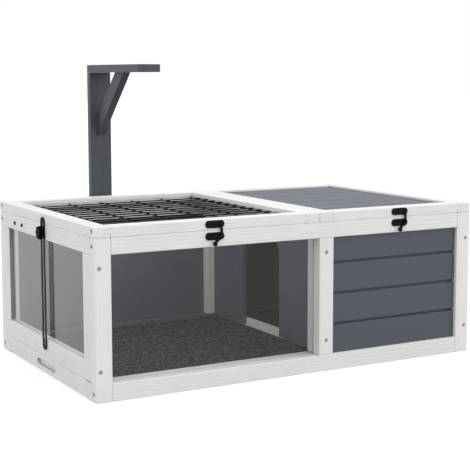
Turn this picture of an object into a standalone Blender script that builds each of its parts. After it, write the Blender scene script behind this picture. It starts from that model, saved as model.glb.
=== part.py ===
"""Tortoise house: a wooden run and den on one frame, with hinged lids, a drawer floor and a lamp bracket.

Metres, +Z up. The house stands on z = 0, with its open run on the left (-X) and its den on the right.
The front faces -Y. The origin is the bottom centre of the whole object's box.
"""

from math import atan2, cos, pi, radians, sin

import bmesh
import bpy
from mathutils import Euler, Matrix, Vector

# Clearances and cuts shared by all pieces
FIT = 0.0003
EDGE = 0.0010
JOIN = 0.0015
OVERRUN = 0.004
MERGE = 0.00001

# Whole house
HOUSE_WIDTH = 0.936
HOUSE_DEPTH = 0.570
BODY_HEIGHT = 0.328
LID_THICKNESS = 0.0215
LID_SEAM = 0.0005

# White frame timbers
POST_WIDTH = 0.036
FRAME_THICKNESS = 0.025
BATTEN_THICKNESS = 0.022
TOP_RAIL_HEIGHT = 0.034
BOTTOM_RAIL_HEIGHT = 0.036
SPLIT_X = 0.054

# Window frame at the left end
SIDE_FRAME_THICKNESS = 0.022
SIDE_STILE_WIDTH = 0.0345
SILL_HEIGHT = 0.0385
GROOVE_OUTER_LIP = 0.0065
GROOVE_WIDTH = 0.0080
GROOVE_DEPTH = 0.0060

# Clear panes and the beads that hold the front one
PANE_THICKNESS = 0.0024
PANE_LAP = 0.0080
FOOT_BEAD_RISE = 0.0080
HEAD_BEAD_HEIGHT = 0.0140
HEAD_BEAD_DEPTH = 0.0120

# Grey clapboards and the battens that hold them
PLANK_COUNT = 4
PLANK_THICKNESS = 0.012
PLANK_PITCH = 0.0680
PLANK_CHANNEL_HEIGHT = 0.0060
PLANK_CHANNEL_DEPTH = 0.0065
PLANK_RECESS = 0.008
BACKING_WIDTH = 0.020
BACKING_THICKNESS = 0.0045

# Divider between run and den
BOARD_JOINT_WIDTH = 0.0020
DIVIDER_BOARD_COUNT = 4
DIVIDER_BOARD_THICKNESS = 0.009
DIVIDER_FOOT_GAP = 0.0066
DOORWAY_WIDTH = 0.170
DOORWAY_HEAD = 0.032
DOORWAY_CORNER = 0.030
CROSS_RAIL_HEIGHT = 0.019
CROSS_RAIL_THICKNESS = 0.012
CROSS_RAIL_CLEARANCE = 0.0015

# Drawer floor
TRAY_FRONT_HEIGHT = 0.0380
TRAY_FRONT_THICKNESS = 0.012
TRAY_GROUND_GAP = 0.003
TRAY_RUNNING_GAP = 0.0008
TRAY_BACK_GAP = 0.002
TRAY_BOARD_THICKNESS = 0.0055
TRAY_BATTEN_WIDTH = 0.014
TRAY_TOP_DROP = 0.0070
RUNNER_HEIGHT = 0.0055
RUNNER_WIDTH = 0.012
GRIP_SLOT_LENGTH = 0.111
GRIP_SLOT_HEIGHT = 0.014
GRIP_SLOT_DEPTH = 0.005
GRIP_SLOT_RISE = 0.0165

# Lids
LID_RAIL_WIDTH = 0.0355
LID_GROOVE_DEPTH = 0.005
WIRE_RADIUS = 0.0015
WIRE_WELD = 0.0006
WIRE_SIDES = 8
MESH_RISE = 0.0090
LONG_WIRE_PITCH = 0.0378
SHORT_WIRE_PITCH = 0.0805
SHORT_WIRE_INSET = 0.0035
ROOF_BOARD_COUNT = 7
ROOF_BOARD_THICKNESS = 0.010
ROOF_RECESS = 0.0055

# Hinges
HINGE_LENGTH = 0.030
HINGE_LEAF_HEIGHT = 0.0150
HINGE_LEAF_THICKNESS = 0.0015
HINGE_KNUCKLE_RADIUS = 0.0040
HINGE_STAND = 0.0045
HINGE_PIN_RADIUS = 0.0015
HINGE_MIDDLE_SHARE = 1 / 3
HINGE_SPREAD = 0.140
HINGE_SIDES = 20

# Front latches
LATCH_OFFSET = 0.0045
LATCH_LENGTH = 0.044
LATCH_HEIGHT = 0.016
LATCH_PLATE_THICKNESS = 0.0015
LATCH_BARREL_WIDTH = 0.010
LATCH_BARREL_HEIGHT = 0.011
LATCH_BARREL_RISE = 0.0014
LATCH_BASE_DROP = 0.0122
LATCH_KEEPER_RISE = 0.0120
HOOK_THICKNESS = 0.0022
HOOK_WIDTH = 0.0055
HOOK_PIVOT_OFFSET = 0.0145
HOOK_TIP_OFFSET = 0.0130
HOOK_TIP_RISE = 0.0225
HOOK_TAIL_OFFSET = -0.0030
HOOK_TAIL_DROP = 0.0150
HOOK_BALL_RADIUS = 0.0046
RIVET_RADIUS = 0.0014
RIVET_HEAD_RADIUS = 0.0034
RIVET_HEAD_THICKNESS = 0.0012
ROUND_STEPS = 6

# Lid stays and their knobs
STAY_Y = -0.0055
STAY_TOP_RISE = 0.0140
STAY_LENGTH = 0.2888
STAY_WIDTH = 0.022
STAY_THICKNESS = 0.0022
STAY_STAND = 0.0008
STAY_LEG_WIDTH = 0.0060
STAY_PIVOT_DROP = 0.0050
STAY_SLOT_DROP = 0.0100
STAY_STEPS = 10
PIVOT_SHANK_RADIUS = 0.0020
PIVOT_HEAD_RADIUS = 0.0045
PIVOT_HEAD_THICKNESS = 0.0014
PIVOT_LENGTH = 0.016
STUD_DROP = 0.0185
STUD_RADIUS = 0.0030
STUD_BURIED = 0.010
STUD_SIDES = 16
KNOB_RADIUS = 0.0145
KNOB_LOBES = 7
KNOB_LOBE_DEPTH = 0.0022
KNOB_POINTS_PER_LOBE = 8
KNOB_THICKNESS = 0.0105
SPARE_HOLE_DEPTH = 0.012
SPARE_HOLE_FAR_Y = 0.180
SPARE_HOLE_NEAR_Y = 0.132

# Lamp bracket
LAMP_OFFSET = 0.0043
LAMP_WIDTH = 0.054
LAMP_THICKNESS = 0.018
LAMP_TOP_Z = 0.6675
LAMP_ARM_THICKNESS = 0.0175
LAMP_ARM_LENGTH = 0.3015
LAMP_STAND = 0.020
LAMP_FOOT_Z = 0.004
BRACE_THICKNESS = 0.018
BRACE_WIDTH = 0.034
BRACE_REACH = 0.1600
BRACE_DROP = 0.1705

# The house stands clear of the origin by what reaches out in front of it and behind it
HOOK_STAND = FIT + LATCH_PLATE_THICKNESS + LATCH_BARREL_RISE + FIT
FRONT_REACH = HOOK_STAND + 2 * HOOK_BALL_RADIUS
BACK_REACH = LAMP_STAND + LAMP_THICKNESS
HOUSE_Y = (FRONT_REACH - BACK_REACH) / 2
LEFT = -HOUSE_WIDTH / 2
RIGHT = HOUSE_WIDTH / 2
FRONT = HOUSE_Y - HOUSE_DEPTH / 2
BACK = HOUSE_Y + HOUSE_DEPTH / 2

# Lines that several pieces meet
LID_BOTTOM = BODY_HEIGHT + LID_SEAM
LID_TOP = LID_BOTTOM + LID_THICKNESS
LID_CENTRES = ((LEFT + SPLIT_X) / 2, (SPLIT_X + RIGHT) / 2)
POST_IN_LEFT = LEFT + POST_WIDTH
POST_IN_RIGHT = RIGHT - POST_WIDTH
RIGHT_RAIL_X = RIGHT - FRAME_THICKNESS
FRONT_RAIL_BACK = FRONT + FRAME_THICKNESS
BACK_RAIL_FRONT = BACK - FRAME_THICKNESS
PANE_Y = FRONT_RAIL_BACK + FIT
INNER_FRONT = PANE_Y + PANE_THICKNESS + BATTEN_THICKNESS
INNER_BACK = BACK_RAIL_FRONT - FIT - PANE_THICKNESS - BATTEN_THICKNESS
MID_POST_RIGHT = SPLIT_X + POST_WIDTH
TOP_RAIL_Z = BODY_HEIGHT - TOP_RAIL_HEIGHT
SILL_Z = TRAY_FRONT_HEIGHT + FIT
SILL_TOP_Z = SILL_Z + SILL_HEIGHT
DIVIDER_FACE = SPLIT_X + POST_WIDTH / 2
DOORWAY_TOP = TOP_RAIL_Z - DOORWAY_HEAD
TRAY_TOP_Z = TRAY_FRONT_HEIGHT - TRAY_TOP_DROP
GRIP_SLOT_Z = TRAY_GROUND_GAP + GRIP_SLOT_RISE
DIVIDER_FOOT_Z = TRAY_TOP_Z + DIVIDER_FOOT_GAP
CROSS_RAIL_Z = TRAY_TOP_Z + CROSS_RAIL_CLEARANCE
HINGE_Y = BACK + HINGE_STAND
HINGE_Z = BODY_HEIGHT
MESH_Z = LID_BOTTOM + MESH_RISE
HOOK_PLANE = FRONT - HOOK_STAND
LATCH_PLACES = tuple(centre + LATCH_OFFSET for centre in LID_CENTRES)
LATCH_BASE_Z = BODY_HEIGHT - LATCH_BASE_DROP
LATCH_KEEPER_Z = LID_BOTTOM + LATCH_KEEPER_RISE
STAY_TOP_Z = LID_BOTTOM + STAY_TOP_RISE
STAY_PIVOT_Z = STAY_TOP_Z - STAY_PIVOT_DROP
STAY_BOTTOM_Z = STAY_TOP_Z - STAY_LENGTH
STAY_FACE = STAY_STAND + STAY_THICKNESS
STAY_PLACE_Y = HOUSE_Y + STAY_Y
STUD_Z = BODY_HEIGHT - STUD_DROP
LAMP_X = LID_CENTRES[0] + LAMP_OFFSET
LAMP_FRONT = BACK + LAMP_STAND
LAMP_BACK = LAMP_FRONT + LAMP_THICKNESS
LAMP_ARM_Z = LAMP_TOP_Z - LAMP_ARM_THICKNESS
BRACE_FOOT_Z = LAMP_TOP_Z - BRACE_DROP

# Turns that stand a flat outline up: thick along Y, and thick along X
ALONG_Y = (pi / 2, 0, 0)
ALONG_X = (pi / 2, 0, pi / 2)

for item in list(bpy.data.objects):
    bpy.data.objects.remove(item, do_unlink=True)

parts = bpy.data.collections.new("Tortoise house")
cutters = bpy.data.collections.new("Cutters")
bpy.context.scene.collection.children.link(parts)
bpy.context.scene.collection.children.link(cutters)


def paint(name, colour, roughness, metallic=0.0, alpha=1.0):
    """A Principled material with one colour."""
    material = bpy.data.materials.new(name)
    material.use_nodes = True
    shader = material.node_tree.nodes["Principled BSDF"]
    shader.inputs["Base Color"].default_value = (*colour, 1.0)
    shader.inputs["Roughness"].default_value = roughness
    shader.inputs["Metallic"].default_value = metallic
    shader.inputs["Alpha"].default_value = alpha
    material.diffuse_color = (*colour, alpha)
    return material


WHITE = paint("white painted wood", (0.76, 0.76, 0.75), 0.55)
GREY = paint("grey painted wood", (0.105, 0.118, 0.140), 0.60)
ROOF_GREY = paint("grey roof board", (0.21, 0.23, 0.26), 0.60)
SLATE = paint("slate painted wood", (0.115, 0.125, 0.145), 0.55)
CLEAR = paint("clear acrylic", (0.85, 0.88, 0.90), 0.05, 0.0, 0.25)
BLACK_STEEL = paint("black steel", (0.012, 0.012, 0.013), 0.40, 0.8)
BLACK_PLASTIC = paint("black plastic", (0.015, 0.015, 0.016), 0.50)
LINER = paint("dark lined board", (0.045, 0.046, 0.048), 0.85)


def add(name, mesh, material, place=(0, 0, 0)):
    """A new object of the house, in one material."""
    item = bpy.data.objects.new(name, mesh)
    item.location = place
    parts.objects.link(item)
    item.data.materials.clear()
    item.data.materials.append(material)
    return item


def as_cutter(item):
    """Moves an object to the cutters, where it is only a guide."""
    parts.objects.unlink(item)
    cutters.objects.link(item)
    item.hide_render = True
    item.display_type = "WIRE"
    return item


def box(name, low, high, material, edge=EDGE):
    """A timber or plate between two corners, with its edges broken where edge is over zero."""
    low = Vector(low)
    high = Vector(high)
    shape = bmesh.new()
    bmesh.ops.create_cube(shape, size=1)
    bmesh.ops.scale(shape, vec=high - low, verts=shape.verts)
    mesh = bpy.data.meshes.new(name)
    shape.to_mesh(mesh)
    shape.free()
    item = add(name, mesh, material, (low + high) / 2)
    if edge > 0:
        bevel = item.modifiers.new("broken edges", "BEVEL")
        bevel.width = edge
        bevel.segments = 1
    return item


def rod(name, start, end, radius, material, sides):
    """A round bar from one point to another."""
    start = Vector(start)
    end = Vector(end)
    along = end - start
    shape = bmesh.new()
    bmesh.ops.create_cone(shape, cap_ends=True, segments=sides, radius1=radius, radius2=radius,
                          depth=along.length)
    mesh = bpy.data.meshes.new(name)
    shape.to_mesh(mesh)
    shape.free()
    mesh.shade_smooth()
    mesh.set_sharp_from_angle(angle=radians(40))
    item = add(name, mesh, material, (start + end) / 2)
    item.rotation_euler = along.to_track_quat("Z", "Y").to_euler()
    return item


def turned(name, profile, sides, material, place, direction):
    """A turned piece: its profile runs down the outer side, and its axis points along direction."""
    mesh = bpy.data.meshes.new(name)
    mesh.from_pydata([(radius, 0, height) for radius, height in profile],
                     [(index, index + 1) for index in range(len(profile) - 1)], [])
    item = add(name, mesh, material, place)
    item.rotation_euler = Vector(direction).to_track_quat("Z", "Y").to_euler()
    screw = item.modifiers.new("turn", "SCREW")
    screw.angle = 2 * pi
    screw.steps = sides
    screw.render_steps = sides
    screw.use_merge_vertices = True
    screw.merge_threshold = MERGE
    return item


def outline_solid(name, outlines, thickness, material, place, turn):
    """A flat piece from closed outlines, the first its rim and any others holes in it."""
    curve = bpy.data.curves.new(name, "CURVE")
    curve.dimensions = "2D"
    curve.fill_mode = "BOTH"
    curve.extrude = thickness / 2
    for outline in outlines:
        spline = curve.splines.new("POLY")
        spline.points.add(len(outline) - 1)
        for point, (across, up) in zip(spline.points, outline):
            point.co = (across, up, 0, 1)
        spline.use_cyclic_u = True
    source = bpy.data.objects.new(name + " outline", curve)
    source.location = place
    source.rotation_euler = turn
    parts.objects.link(source)
    bpy.context.view_layer.update()
    graph = bpy.context.evaluated_depsgraph_get()
    mesh = bpy.data.meshes.new_from_object(source.evaluated_get(graph))
    shape = bmesh.new()
    shape.from_mesh(mesh)
    bmesh.ops.remove_doubles(shape, verts=shape.verts, dist=MERGE)
    bmesh.ops.recalc_face_normals(shape, faces=shape.faces)
    shape.to_mesh(mesh)
    shape.free()
    item = add(name, mesh, material)
    item.matrix_world = source.matrix_world
    bpy.data.objects.remove(source, do_unlink=True)
    return item


def arc(centre, radius, start, end, steps):
    """Points along an arc, both ends included."""
    angles = [start + (end - start) * step / steps for step in range(steps + 1)]
    return [(centre[0] + radius * cos(angle), centre[1] + radius * sin(angle)) for angle in angles]


def circle(centre, radius, steps):
    """Points round a circle."""
    return arc(centre, radius, 0, 2 * pi, steps)[:-1]


def upright_stadium(length, width, centre, steps):
    """The outline of a long upright shape with round ends."""
    radius = width / 2
    reach = length / 2 - radius
    top = arc((centre[0], centre[1] + reach), radius, 0, pi, steps)
    return top + arc((centre[0], centre[1] - reach), radius, pi, 2 * pi, steps)


def level(outline):
    """The same outline laid on its side."""
    return [(-up, across) for across, up in outline]


def boolean(target, other, operation):
    """Cuts the other solid out of the target, or joins it on."""
    modifier = target.modifiers.new(other.name, "BOOLEAN")
    modifier.operation = operation
    modifier.solver = "EXACT"
    modifier.object = other
    return target


def cut(target, *others):
    """Cuts each of the others out of the target."""
    for other in others:
        boolean(target, other, "DIFFERENCE")
    return target


def join_on(target, *others):
    """Fuses the others to the target, so that they are one solid."""
    for other in others:
        boolean(target, as_cutter(other), "UNION")
    return target


def gather(name, pieces, material):
    """Puts separate meshes in one object, at the place of the first of them."""
    bpy.context.view_layer.update()
    graph = bpy.context.evaluated_depsgraph_get()
    place = pieces[0].matrix_world.translation.copy()
    shape = bmesh.new()
    for piece in pieces:
        mesh = bpy.data.meshes.new_from_object(piece.evaluated_get(graph))
        mesh.transform(Matrix.Translation(-place) @ piece.matrix_world)
        shape.from_mesh(mesh)
        bpy.data.meshes.remove(mesh)
    mesh = bpy.data.meshes.new(name)
    shape.to_mesh(mesh)
    shape.free()
    for piece in pieces:
        bpy.data.objects.remove(piece, do_unlink=True)
    return add(name, mesh, material, place)


def front_pane_corners(grow=0.0):
    """The corners of the front pane, each face moved out by grow."""
    low = (POST_IN_LEFT - PANE_LAP - grow, PANE_Y - grow, BOTTOM_RAIL_HEIGHT - PANE_LAP - grow)
    high = (SPLIT_X + PANE_LAP + grow, PANE_Y + PANE_THICKNESS + grow, TOP_RAIL_Z + PANE_LAP + grow)
    return low, high


def corner_posts():
    """The four posts at the corners of the house."""
    posts = []
    for side, x0, x1 in (("left", LEFT, POST_IN_LEFT), ("right", POST_IN_RIGHT, RIGHT)):
        for end, y0, y1 in (("front", FRONT, FRONT_RAIL_BACK), ("back", BACK_RAIL_FRONT, BACK)):
            posts.append(box(end + "_" + side + "_post", (x0, y0, 0), (x1, y1, BODY_HEIGHT), WHITE))
    return posts


def mid_posts(pane_slot):
    """The posts between run and den: the front one laps inside the rails and is rebated for the pane."""
    z0 = TRAY_FRONT_HEIGHT + FIT
    z1 = BODY_HEIGHT - FIT
    front = box("front_mid_post", (SPLIT_X, FRONT, BOTTOM_RAIL_HEIGHT + FIT),
                (MID_POST_RIGHT, FRONT_RAIL_BACK, TOP_RAIL_Z - FIT), WHITE)
    inner = box("front mid post lap", (SPLIT_X, PANE_Y, z0), (MID_POST_RIGHT, INNER_FRONT, z1), WHITE)
    glue = box("front mid post joint", (SPLIT_X + EDGE, FRONT_RAIL_BACK - JOIN, z0 + EDGE),
               (MID_POST_RIGHT - EDGE, PANE_Y + JOIN, TOP_RAIL_Z - FIT - EDGE), WHITE, 0)
    cut(join_on(front, inner, glue), pane_slot)
    back = box("back_mid_post", (SPLIT_X, INNER_BACK, z0),
               (MID_POST_RIGHT, BACK_RAIL_FRONT - FIT, z1), WHITE)
    return [front, back]


def long_rails(pane_slot):
    """The rails along the front and the back: the front top rail has a bead behind the pane's head."""
    x0 = POST_IN_LEFT + FIT
    x1 = POST_IN_RIGHT - FIT
    rails = []
    for side, y0, y1 in (("front", FRONT, FRONT_RAIL_BACK), ("back", BACK_RAIL_FRONT, BACK)):
        rails.append(box(side + "_bottom_rail", (x0, y0, 0), (x1, y1, BOTTOM_RAIL_HEIGHT), WHITE))
        rails.append(box(side + "_top_rail", (x0, y0, TOP_RAIL_Z), (x1, y1, BODY_HEIGHT), WHITE))
    bead = box("head bead", (x0 + FIT, FRONT_RAIL_BACK - JOIN, TOP_RAIL_Z + FIT),
               (SPLIT_X - FIT, FRONT_RAIL_BACK + HEAD_BEAD_DEPTH, TOP_RAIL_Z + HEAD_BEAD_HEIGHT), WHITE, 0)
    cut(join_on(rails[1], bead), pane_slot)
    return rails


def right_end_rails():
    """The two short rails between the right posts."""
    y0 = FRONT_RAIL_BACK + FIT
    y1 = BACK_RAIL_FRONT - FIT
    low = box("right_bottom_rail", (RIGHT_RAIL_X, y0, 0), (RIGHT, y1, BOTTOM_RAIL_HEIGHT), WHITE)
    high = box("right_top_rail", (RIGHT_RAIL_X, y0, TOP_RAIL_Z), (RIGHT, y1, BODY_HEIGHT), WHITE)
    return [low, high]


def left_window_frame():
    """The left end's top rail, sill and stiles, with a groove round the opening for the pane."""
    inside = LEFT + SIDE_FRAME_THICKNESS
    y0 = FRONT_RAIL_BACK + FIT
    y1 = BACK_RAIL_FRONT - FIT
    groove_x = LEFT + GROOVE_OUTER_LIP
    reach = SIDE_STILE_WIDTH - GROOVE_DEPTH
    groove = as_cutter(box("left pane groove", (groove_x, y0 + reach, SILL_TOP_Z - GROOVE_DEPTH),
                           (groove_x + GROOVE_WIDTH, y1 - reach, TOP_RAIL_Z + GROOVE_DEPTH), WHITE, 0))
    top = box("left_top_rail", (LEFT, y0, TOP_RAIL_Z), (inside, y1, BODY_HEIGHT), WHITE)
    sill = box("left_sill_rail", (LEFT, y0, SILL_Z), (inside, y1, SILL_TOP_Z), WHITE)
    z0 = SILL_TOP_Z + FIT
    z1 = TOP_RAIL_Z - FIT
    front = box("left_front_stile", (LEFT, y0, z0), (inside, y0 + SIDE_STILE_WIDTH, z1), WHITE)
    back = box("left_back_stile", (LEFT, y1 - SIDE_STILE_WIDTH, z0), (inside, y1, z1), WHITE)
    return [cut(timber, groove) for timber in (top, sill, front, back)]


def left_pane():
    """The clear sheet that stands in the groove of the left window frame, against its outer lip."""
    x0 = LEFT + GROOVE_OUTER_LIP + FIT
    x1 = x0 + PANE_THICKNESS
    reach = GROOVE_DEPTH - FIT
    y0 = FRONT_RAIL_BACK + FIT + SIDE_STILE_WIDTH - reach
    y1 = BACK_RAIL_FRONT - FIT - SIDE_STILE_WIDTH + reach
    return box("left_pane", (x0, y0, SILL_TOP_Z - reach), (x1, y1, TOP_RAIL_Z + reach), CLEAR, 0)


def floor_battens(pane_slot):
    """The battens inside the bottom rails: each has a low runner for the drawer, the front one a bead."""
    x1 = RIGHT_RAIL_X - FIT
    runner_x = LEFT + FRAME_THICKNESS
    runner_reach = RUNNER_WIDTH + TRAY_RUNNING_GAP
    front = box("front_floor_batten", (LEFT, PANE_Y, 0), (x1, INNER_FRONT, TRAY_FRONT_HEIGHT), WHITE)
    bead = box("foot bead", (LEFT + SIDE_FRAME_THICKNESS + FIT, PANE_Y + FIT, TRAY_FRONT_HEIGHT - JOIN),
               (SPLIT_X - FIT, INNER_FRONT - FIT, BOTTOM_RAIL_HEIGHT + FOOT_BEAD_RISE), WHITE, 0)
    front_runner = box("front runner", (runner_x, INNER_FRONT - JOIN, FIT),
                       (x1 - FIT, INNER_FRONT + runner_reach, RUNNER_HEIGHT), WHITE, 0)
    cut(join_on(front, bead, front_runner), pane_slot)
    back = box("back_floor_batten", (LEFT, INNER_BACK, 0),
               (x1, BACK_RAIL_FRONT - FIT, TRAY_FRONT_HEIGHT), WHITE)
    back_runner = box("back runner", (runner_x, INNER_BACK - runner_reach, FIT),
                      (x1 - FIT, INNER_BACK + JOIN, RUNNER_HEIGHT), WHITE, 0)
    return [front, join_on(back, back_runner)]


def clapboard_outline():
    """The wall's section, depth by height: boards with a channel between neighbours, counted from the foot."""
    low = BOTTOM_RAIL_HEIGHT + FIT
    high = TOP_RAIL_Z - FIT
    points = [(PLANK_THICKNESS, high), (PLANK_THICKNESS, low), (0, low)]
    for index in range(1, PLANK_COUNT):
        foot = low + PLANK_PITCH * index
        head = foot - PLANK_CHANNEL_HEIGHT
        points += [(0, head), (PLANK_CHANNEL_DEPTH, head), (PLANK_CHANNEL_DEPTH, foot), (0, foot)]
    points.append((0, high))
    return points


def clapboard_wall(name, length, place, heading, backing_low, backing_high):
    """Clapboards on an upright batten near either end. Depth runs in from the outer face at place."""
    turn = (pi / 2, 0, heading)
    wall = outline_solid(name, [clapboard_outline()], length, GREY, place, turn)
    z0 = BOTTOM_RAIL_HEIGHT + 2 * FIT
    z1 = TOP_RAIL_Z - 2 * FIT
    outline = [(backing_low, z0), (backing_high, z0), (backing_high, z1), (backing_low, z1)]
    along = Euler(turn).to_matrix() @ Vector((0, 0, length / 2 - BACKING_WIDTH / 2 - FIT))
    for side in (-1, 1):
        centre = Vector(place) + side * along
        join_on(wall, outline_solid(name + " batten", [outline], BACKING_WIDTH, GREY, centre, turn))
    return wall


def clapboard_walls():
    """The grey walls: the den's front and right end, and the whole back."""
    behind_low = PLANK_THICKNESS - JOIN
    behind_high = PLANK_THICKNESS + BACKING_THICKNESS
    den_x = (MID_POST_RIGHT + POST_IN_RIGHT) / 2
    den_length = POST_IN_RIGHT - MID_POST_RIGHT - 2 * FIT
    front = clapboard_wall("front_clapboards", den_length, (den_x, FRONT + PLANK_RECESS, 0), pi / 2,
                           behind_low, behind_high)
    end_length = HOUSE_DEPTH - 2 * FRAME_THICKNESS - 2 * FIT
    end = clapboard_wall("right_clapboards", end_length, (RIGHT - PLANK_RECESS, HOUSE_Y, 0), pi,
                         behind_low, behind_high)
    back_length = POST_IN_RIGHT - POST_IN_LEFT - 2 * FIT
    back_face = BACK_RAIL_FRONT + FIT + PLANK_THICKNESS
    back = clapboard_wall("back_clapboards", back_length, (0, back_face, 0), -pi / 2,
                          -BACKING_THICKNESS, PLANK_CHANNEL_DEPTH + JOIN)
    return [front, end, back]


def jointed_outline(width, thickness, count):
    """The section of boards side by side, with a V joint between neighbours on both faces."""
    half = BOARD_JOINT_WIDTH / 2
    joints = [width * index / count - width / 2 for index in range(1, count)]
    top = [(-width / 2, thickness)]
    for joint in joints:
        top += [(joint - half, thickness), (joint, thickness - half), (joint + half, thickness)]
    top.append((width / 2, thickness))
    return top + [(across, thickness - up) for across, up in reversed(top)]


def doorway_cutter():
    """The doorway through the divider, square at the floor and with round top corners."""
    half = DOORWAY_WIDTH / 2
    low = DIVIDER_FOOT_Z - OVERRUN
    reach = half - DOORWAY_CORNER
    spring = DOORWAY_TOP - DOORWAY_CORNER
    points = [(-half, low), (half, low)]
    points += arc((reach, spring), DOORWAY_CORNER, 0, pi / 2, ROUND_STEPS)
    points += arc((-reach, spring), DOORWAY_CORNER, pi / 2, pi, ROUND_STEPS)
    place = (DIVIDER_FACE + DIVIDER_BOARD_THICKNESS / 2, HOUSE_Y, 0)
    depth = DIVIDER_BOARD_THICKNESS + 2 * OVERRUN
    return as_cutter(outline_solid("doorway", [points], depth, GREY, place, ALONG_X))


def divider():
    """The boarded wall between run and den on its low cross rail, and the rail under the lids' seam."""
    y0 = INNER_FRONT + FIT
    y1 = INNER_BACK - FIT
    height = TOP_RAIL_Z - FIT - DIVIDER_FOOT_Z
    outline = jointed_outline(y1 - y0, DIVIDER_BOARD_THICKNESS, DIVIDER_BOARD_COUNT)
    board_back = DIVIDER_FACE + DIVIDER_BOARD_THICKNESS
    wall = outline_solid("divider_wall", [outline], height, GREY,
                         (board_back, HOUSE_Y, DIVIDER_FOOT_Z + height / 2), (0, 0, pi / 2))
    cut(wall, doorway_cutter())
    cross = box("cross rail", (board_back - JOIN, y0 + FIT, CROSS_RAIL_Z),
                (board_back + CROSS_RAIL_THICKNESS, y1 - FIT, CROSS_RAIL_Z + CROSS_RAIL_HEIGHT), WHITE)
    join_on(wall, cross)
    top = box("divider_top_rail", (SPLIT_X + FIT, y0, TOP_RAIL_Z),
              (MID_POST_RIGHT - FIT, y1, BODY_HEIGHT), WHITE)
    return [wall, top]


def tray():
    """The drawer floor: its front with a blind slot for the fingers, and its lined board on battens."""
    y0 = INNER_FRONT + TRAY_RUNNING_GAP
    y1 = INNER_BACK - TRAY_RUNNING_GAP
    x0 = LEFT + TRAY_FRONT_THICKNESS + FIT
    x1 = RIGHT_RAIL_X - TRAY_BACK_GAP
    front = box("tray_front", (LEFT, y0, TRAY_GROUND_GAP), (x0 - FIT, y1, TRAY_FRONT_HEIGHT - FIT),
                WHITE)
    outline = level(upright_stadium(GRIP_SLOT_LENGTH, GRIP_SLOT_HEIGHT, (0, 0), ROUND_STEPS))
    slot = outline_solid("grip slot", [outline], GRIP_SLOT_DEPTH + OVERRUN, WHITE,
                         (LEFT + (GRIP_SLOT_DEPTH - OVERRUN) / 2, STAY_PLACE_Y, GRIP_SLOT_Z), ALONG_X)
    cut(front, as_cutter(slot))
    board_low = TRAY_TOP_Z - TRAY_BOARD_THICKNESS
    board = box("tray_floor", (x0, y0, board_low), (x1, y1, TRAY_TOP_Z), LINER, 0)
    z0 = RUNNER_HEIGHT + FIT
    z1 = board_low + JOIN
    for start in (y0 + FIT, y1 - FIT - TRAY_BATTEN_WIDTH):
        end = start + TRAY_BATTEN_WIDTH
        join_on(board, box("side batten", (x0 + FIT, start, z0), (x1 - FIT, end, z1), LINER, 0))
    join_on(board, box("end batten", (x1 - 2 * FIT - TRAY_BATTEN_WIDTH, y0 + TRAY_BATTEN_WIDTH, z0 + FIT),
                       (x1 - 2 * FIT, y1 - TRAY_BATTEN_WIDTH, z1 - FIT), LINER, 0))
    return [front, board]


def lid_frame(lid, x0, x1, groove_low, groove_high):
    """A lid's side rails and cross rails, grooved inside for what the lid holds."""
    inner_x0 = x0 + LID_RAIL_WIDTH
    inner_x1 = x1 - LID_RAIL_WIDTH
    inner_y0 = FRONT + LID_RAIL_WIDTH
    inner_y1 = BACK - LID_RAIL_WIDTH
    depth = LID_GROOVE_DEPTH
    groove = as_cutter(box(lid + " groove", (inner_x0 - depth, inner_y0 - depth, groove_low),
                           (inner_x1 + depth, inner_y1 + depth, groove_high), WHITE, 0))
    rails = []
    for side, low_x, high_x in (("_left_rail", x0, inner_x0), ("_right_rail", inner_x1, x1)):
        rails.append(box(lid + side, (low_x, FRONT, LID_BOTTOM), (high_x, BACK, LID_TOP), WHITE))
    for side, low_y, high_y in (("_front_rail", FRONT, inner_y0), ("_back_rail", inner_y1, BACK)):
        rails.append(box(lid + side, (inner_x0 + FIT, low_y, LID_BOTTOM),
                         (inner_x1 - FIT, high_y, LID_TOP), WHITE))
    return [cut(rail, groove) for rail in rails]


def wire_mesh(x0, x1):
    """The welded wire panel: long wires over short ones, with their ends in the lid's groove."""
    reach = LID_GROOVE_DEPTH - FIT
    inner_x0 = x0 + LID_RAIL_WIDTH
    inner_x1 = x1 - LID_RAIL_WIDTH
    inner_y0 = FRONT + LID_RAIL_WIDTH
    inner_y1 = BACK - LID_RAIL_WIDTH
    long_z = MESH_Z + WIRE_RADIUS - WIRE_WELD / 2
    short_z = MESH_Z - WIRE_RADIUS + WIRE_WELD / 2
    long_wires = []
    y = inner_y1 - LONG_WIRE_PITCH
    while y > inner_y0 + WIRE_RADIUS:
        ends = (inner_x0 - reach, y, long_z), (inner_x1 + reach, y, long_z)
        long_wires.append(rod("long wire", *ends, WIRE_RADIUS, BLACK_STEEL, WIRE_SIDES))
        y -= LONG_WIRE_PITCH
    short_wires = []
    x = inner_x1 - SHORT_WIRE_INSET
    while x > inner_x0 + WIRE_RADIUS:
        ends = (x, inner_y0 - reach, short_z), (x, inner_y1 + reach, short_z)
        short_wires.append(rod("short wire", *ends, WIRE_RADIUS, BLACK_STEEL, WIRE_SIDES))
        x -= SHORT_WIRE_PITCH
    panel = gather("wire_mesh", long_wires, BLACK_STEEL)
    return join_on(panel, gather("short wires", short_wires, BLACK_STEEL))


def roof_boards(x0, x1):
    """The grey boards of the den's lid, side by side along X, with their ends in the lid's groove."""
    reach = LID_GROOVE_DEPTH - FIT
    length = x1 - x0 - 2 * LID_RAIL_WIDTH + 2 * reach
    width = HOUSE_DEPTH - 2 * LID_RAIL_WIDTH + 2 * reach
    outline = jointed_outline(width, ROOF_BOARD_THICKNESS, ROOF_BOARD_COUNT)
    place = ((x0 + x1) / 2, HOUSE_Y, LID_TOP - ROOF_RECESS - ROOF_BOARD_THICKNESS)
    return outline_solid("roof_boards", [outline], length, ROOF_GREY, place, ALONG_X)


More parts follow.
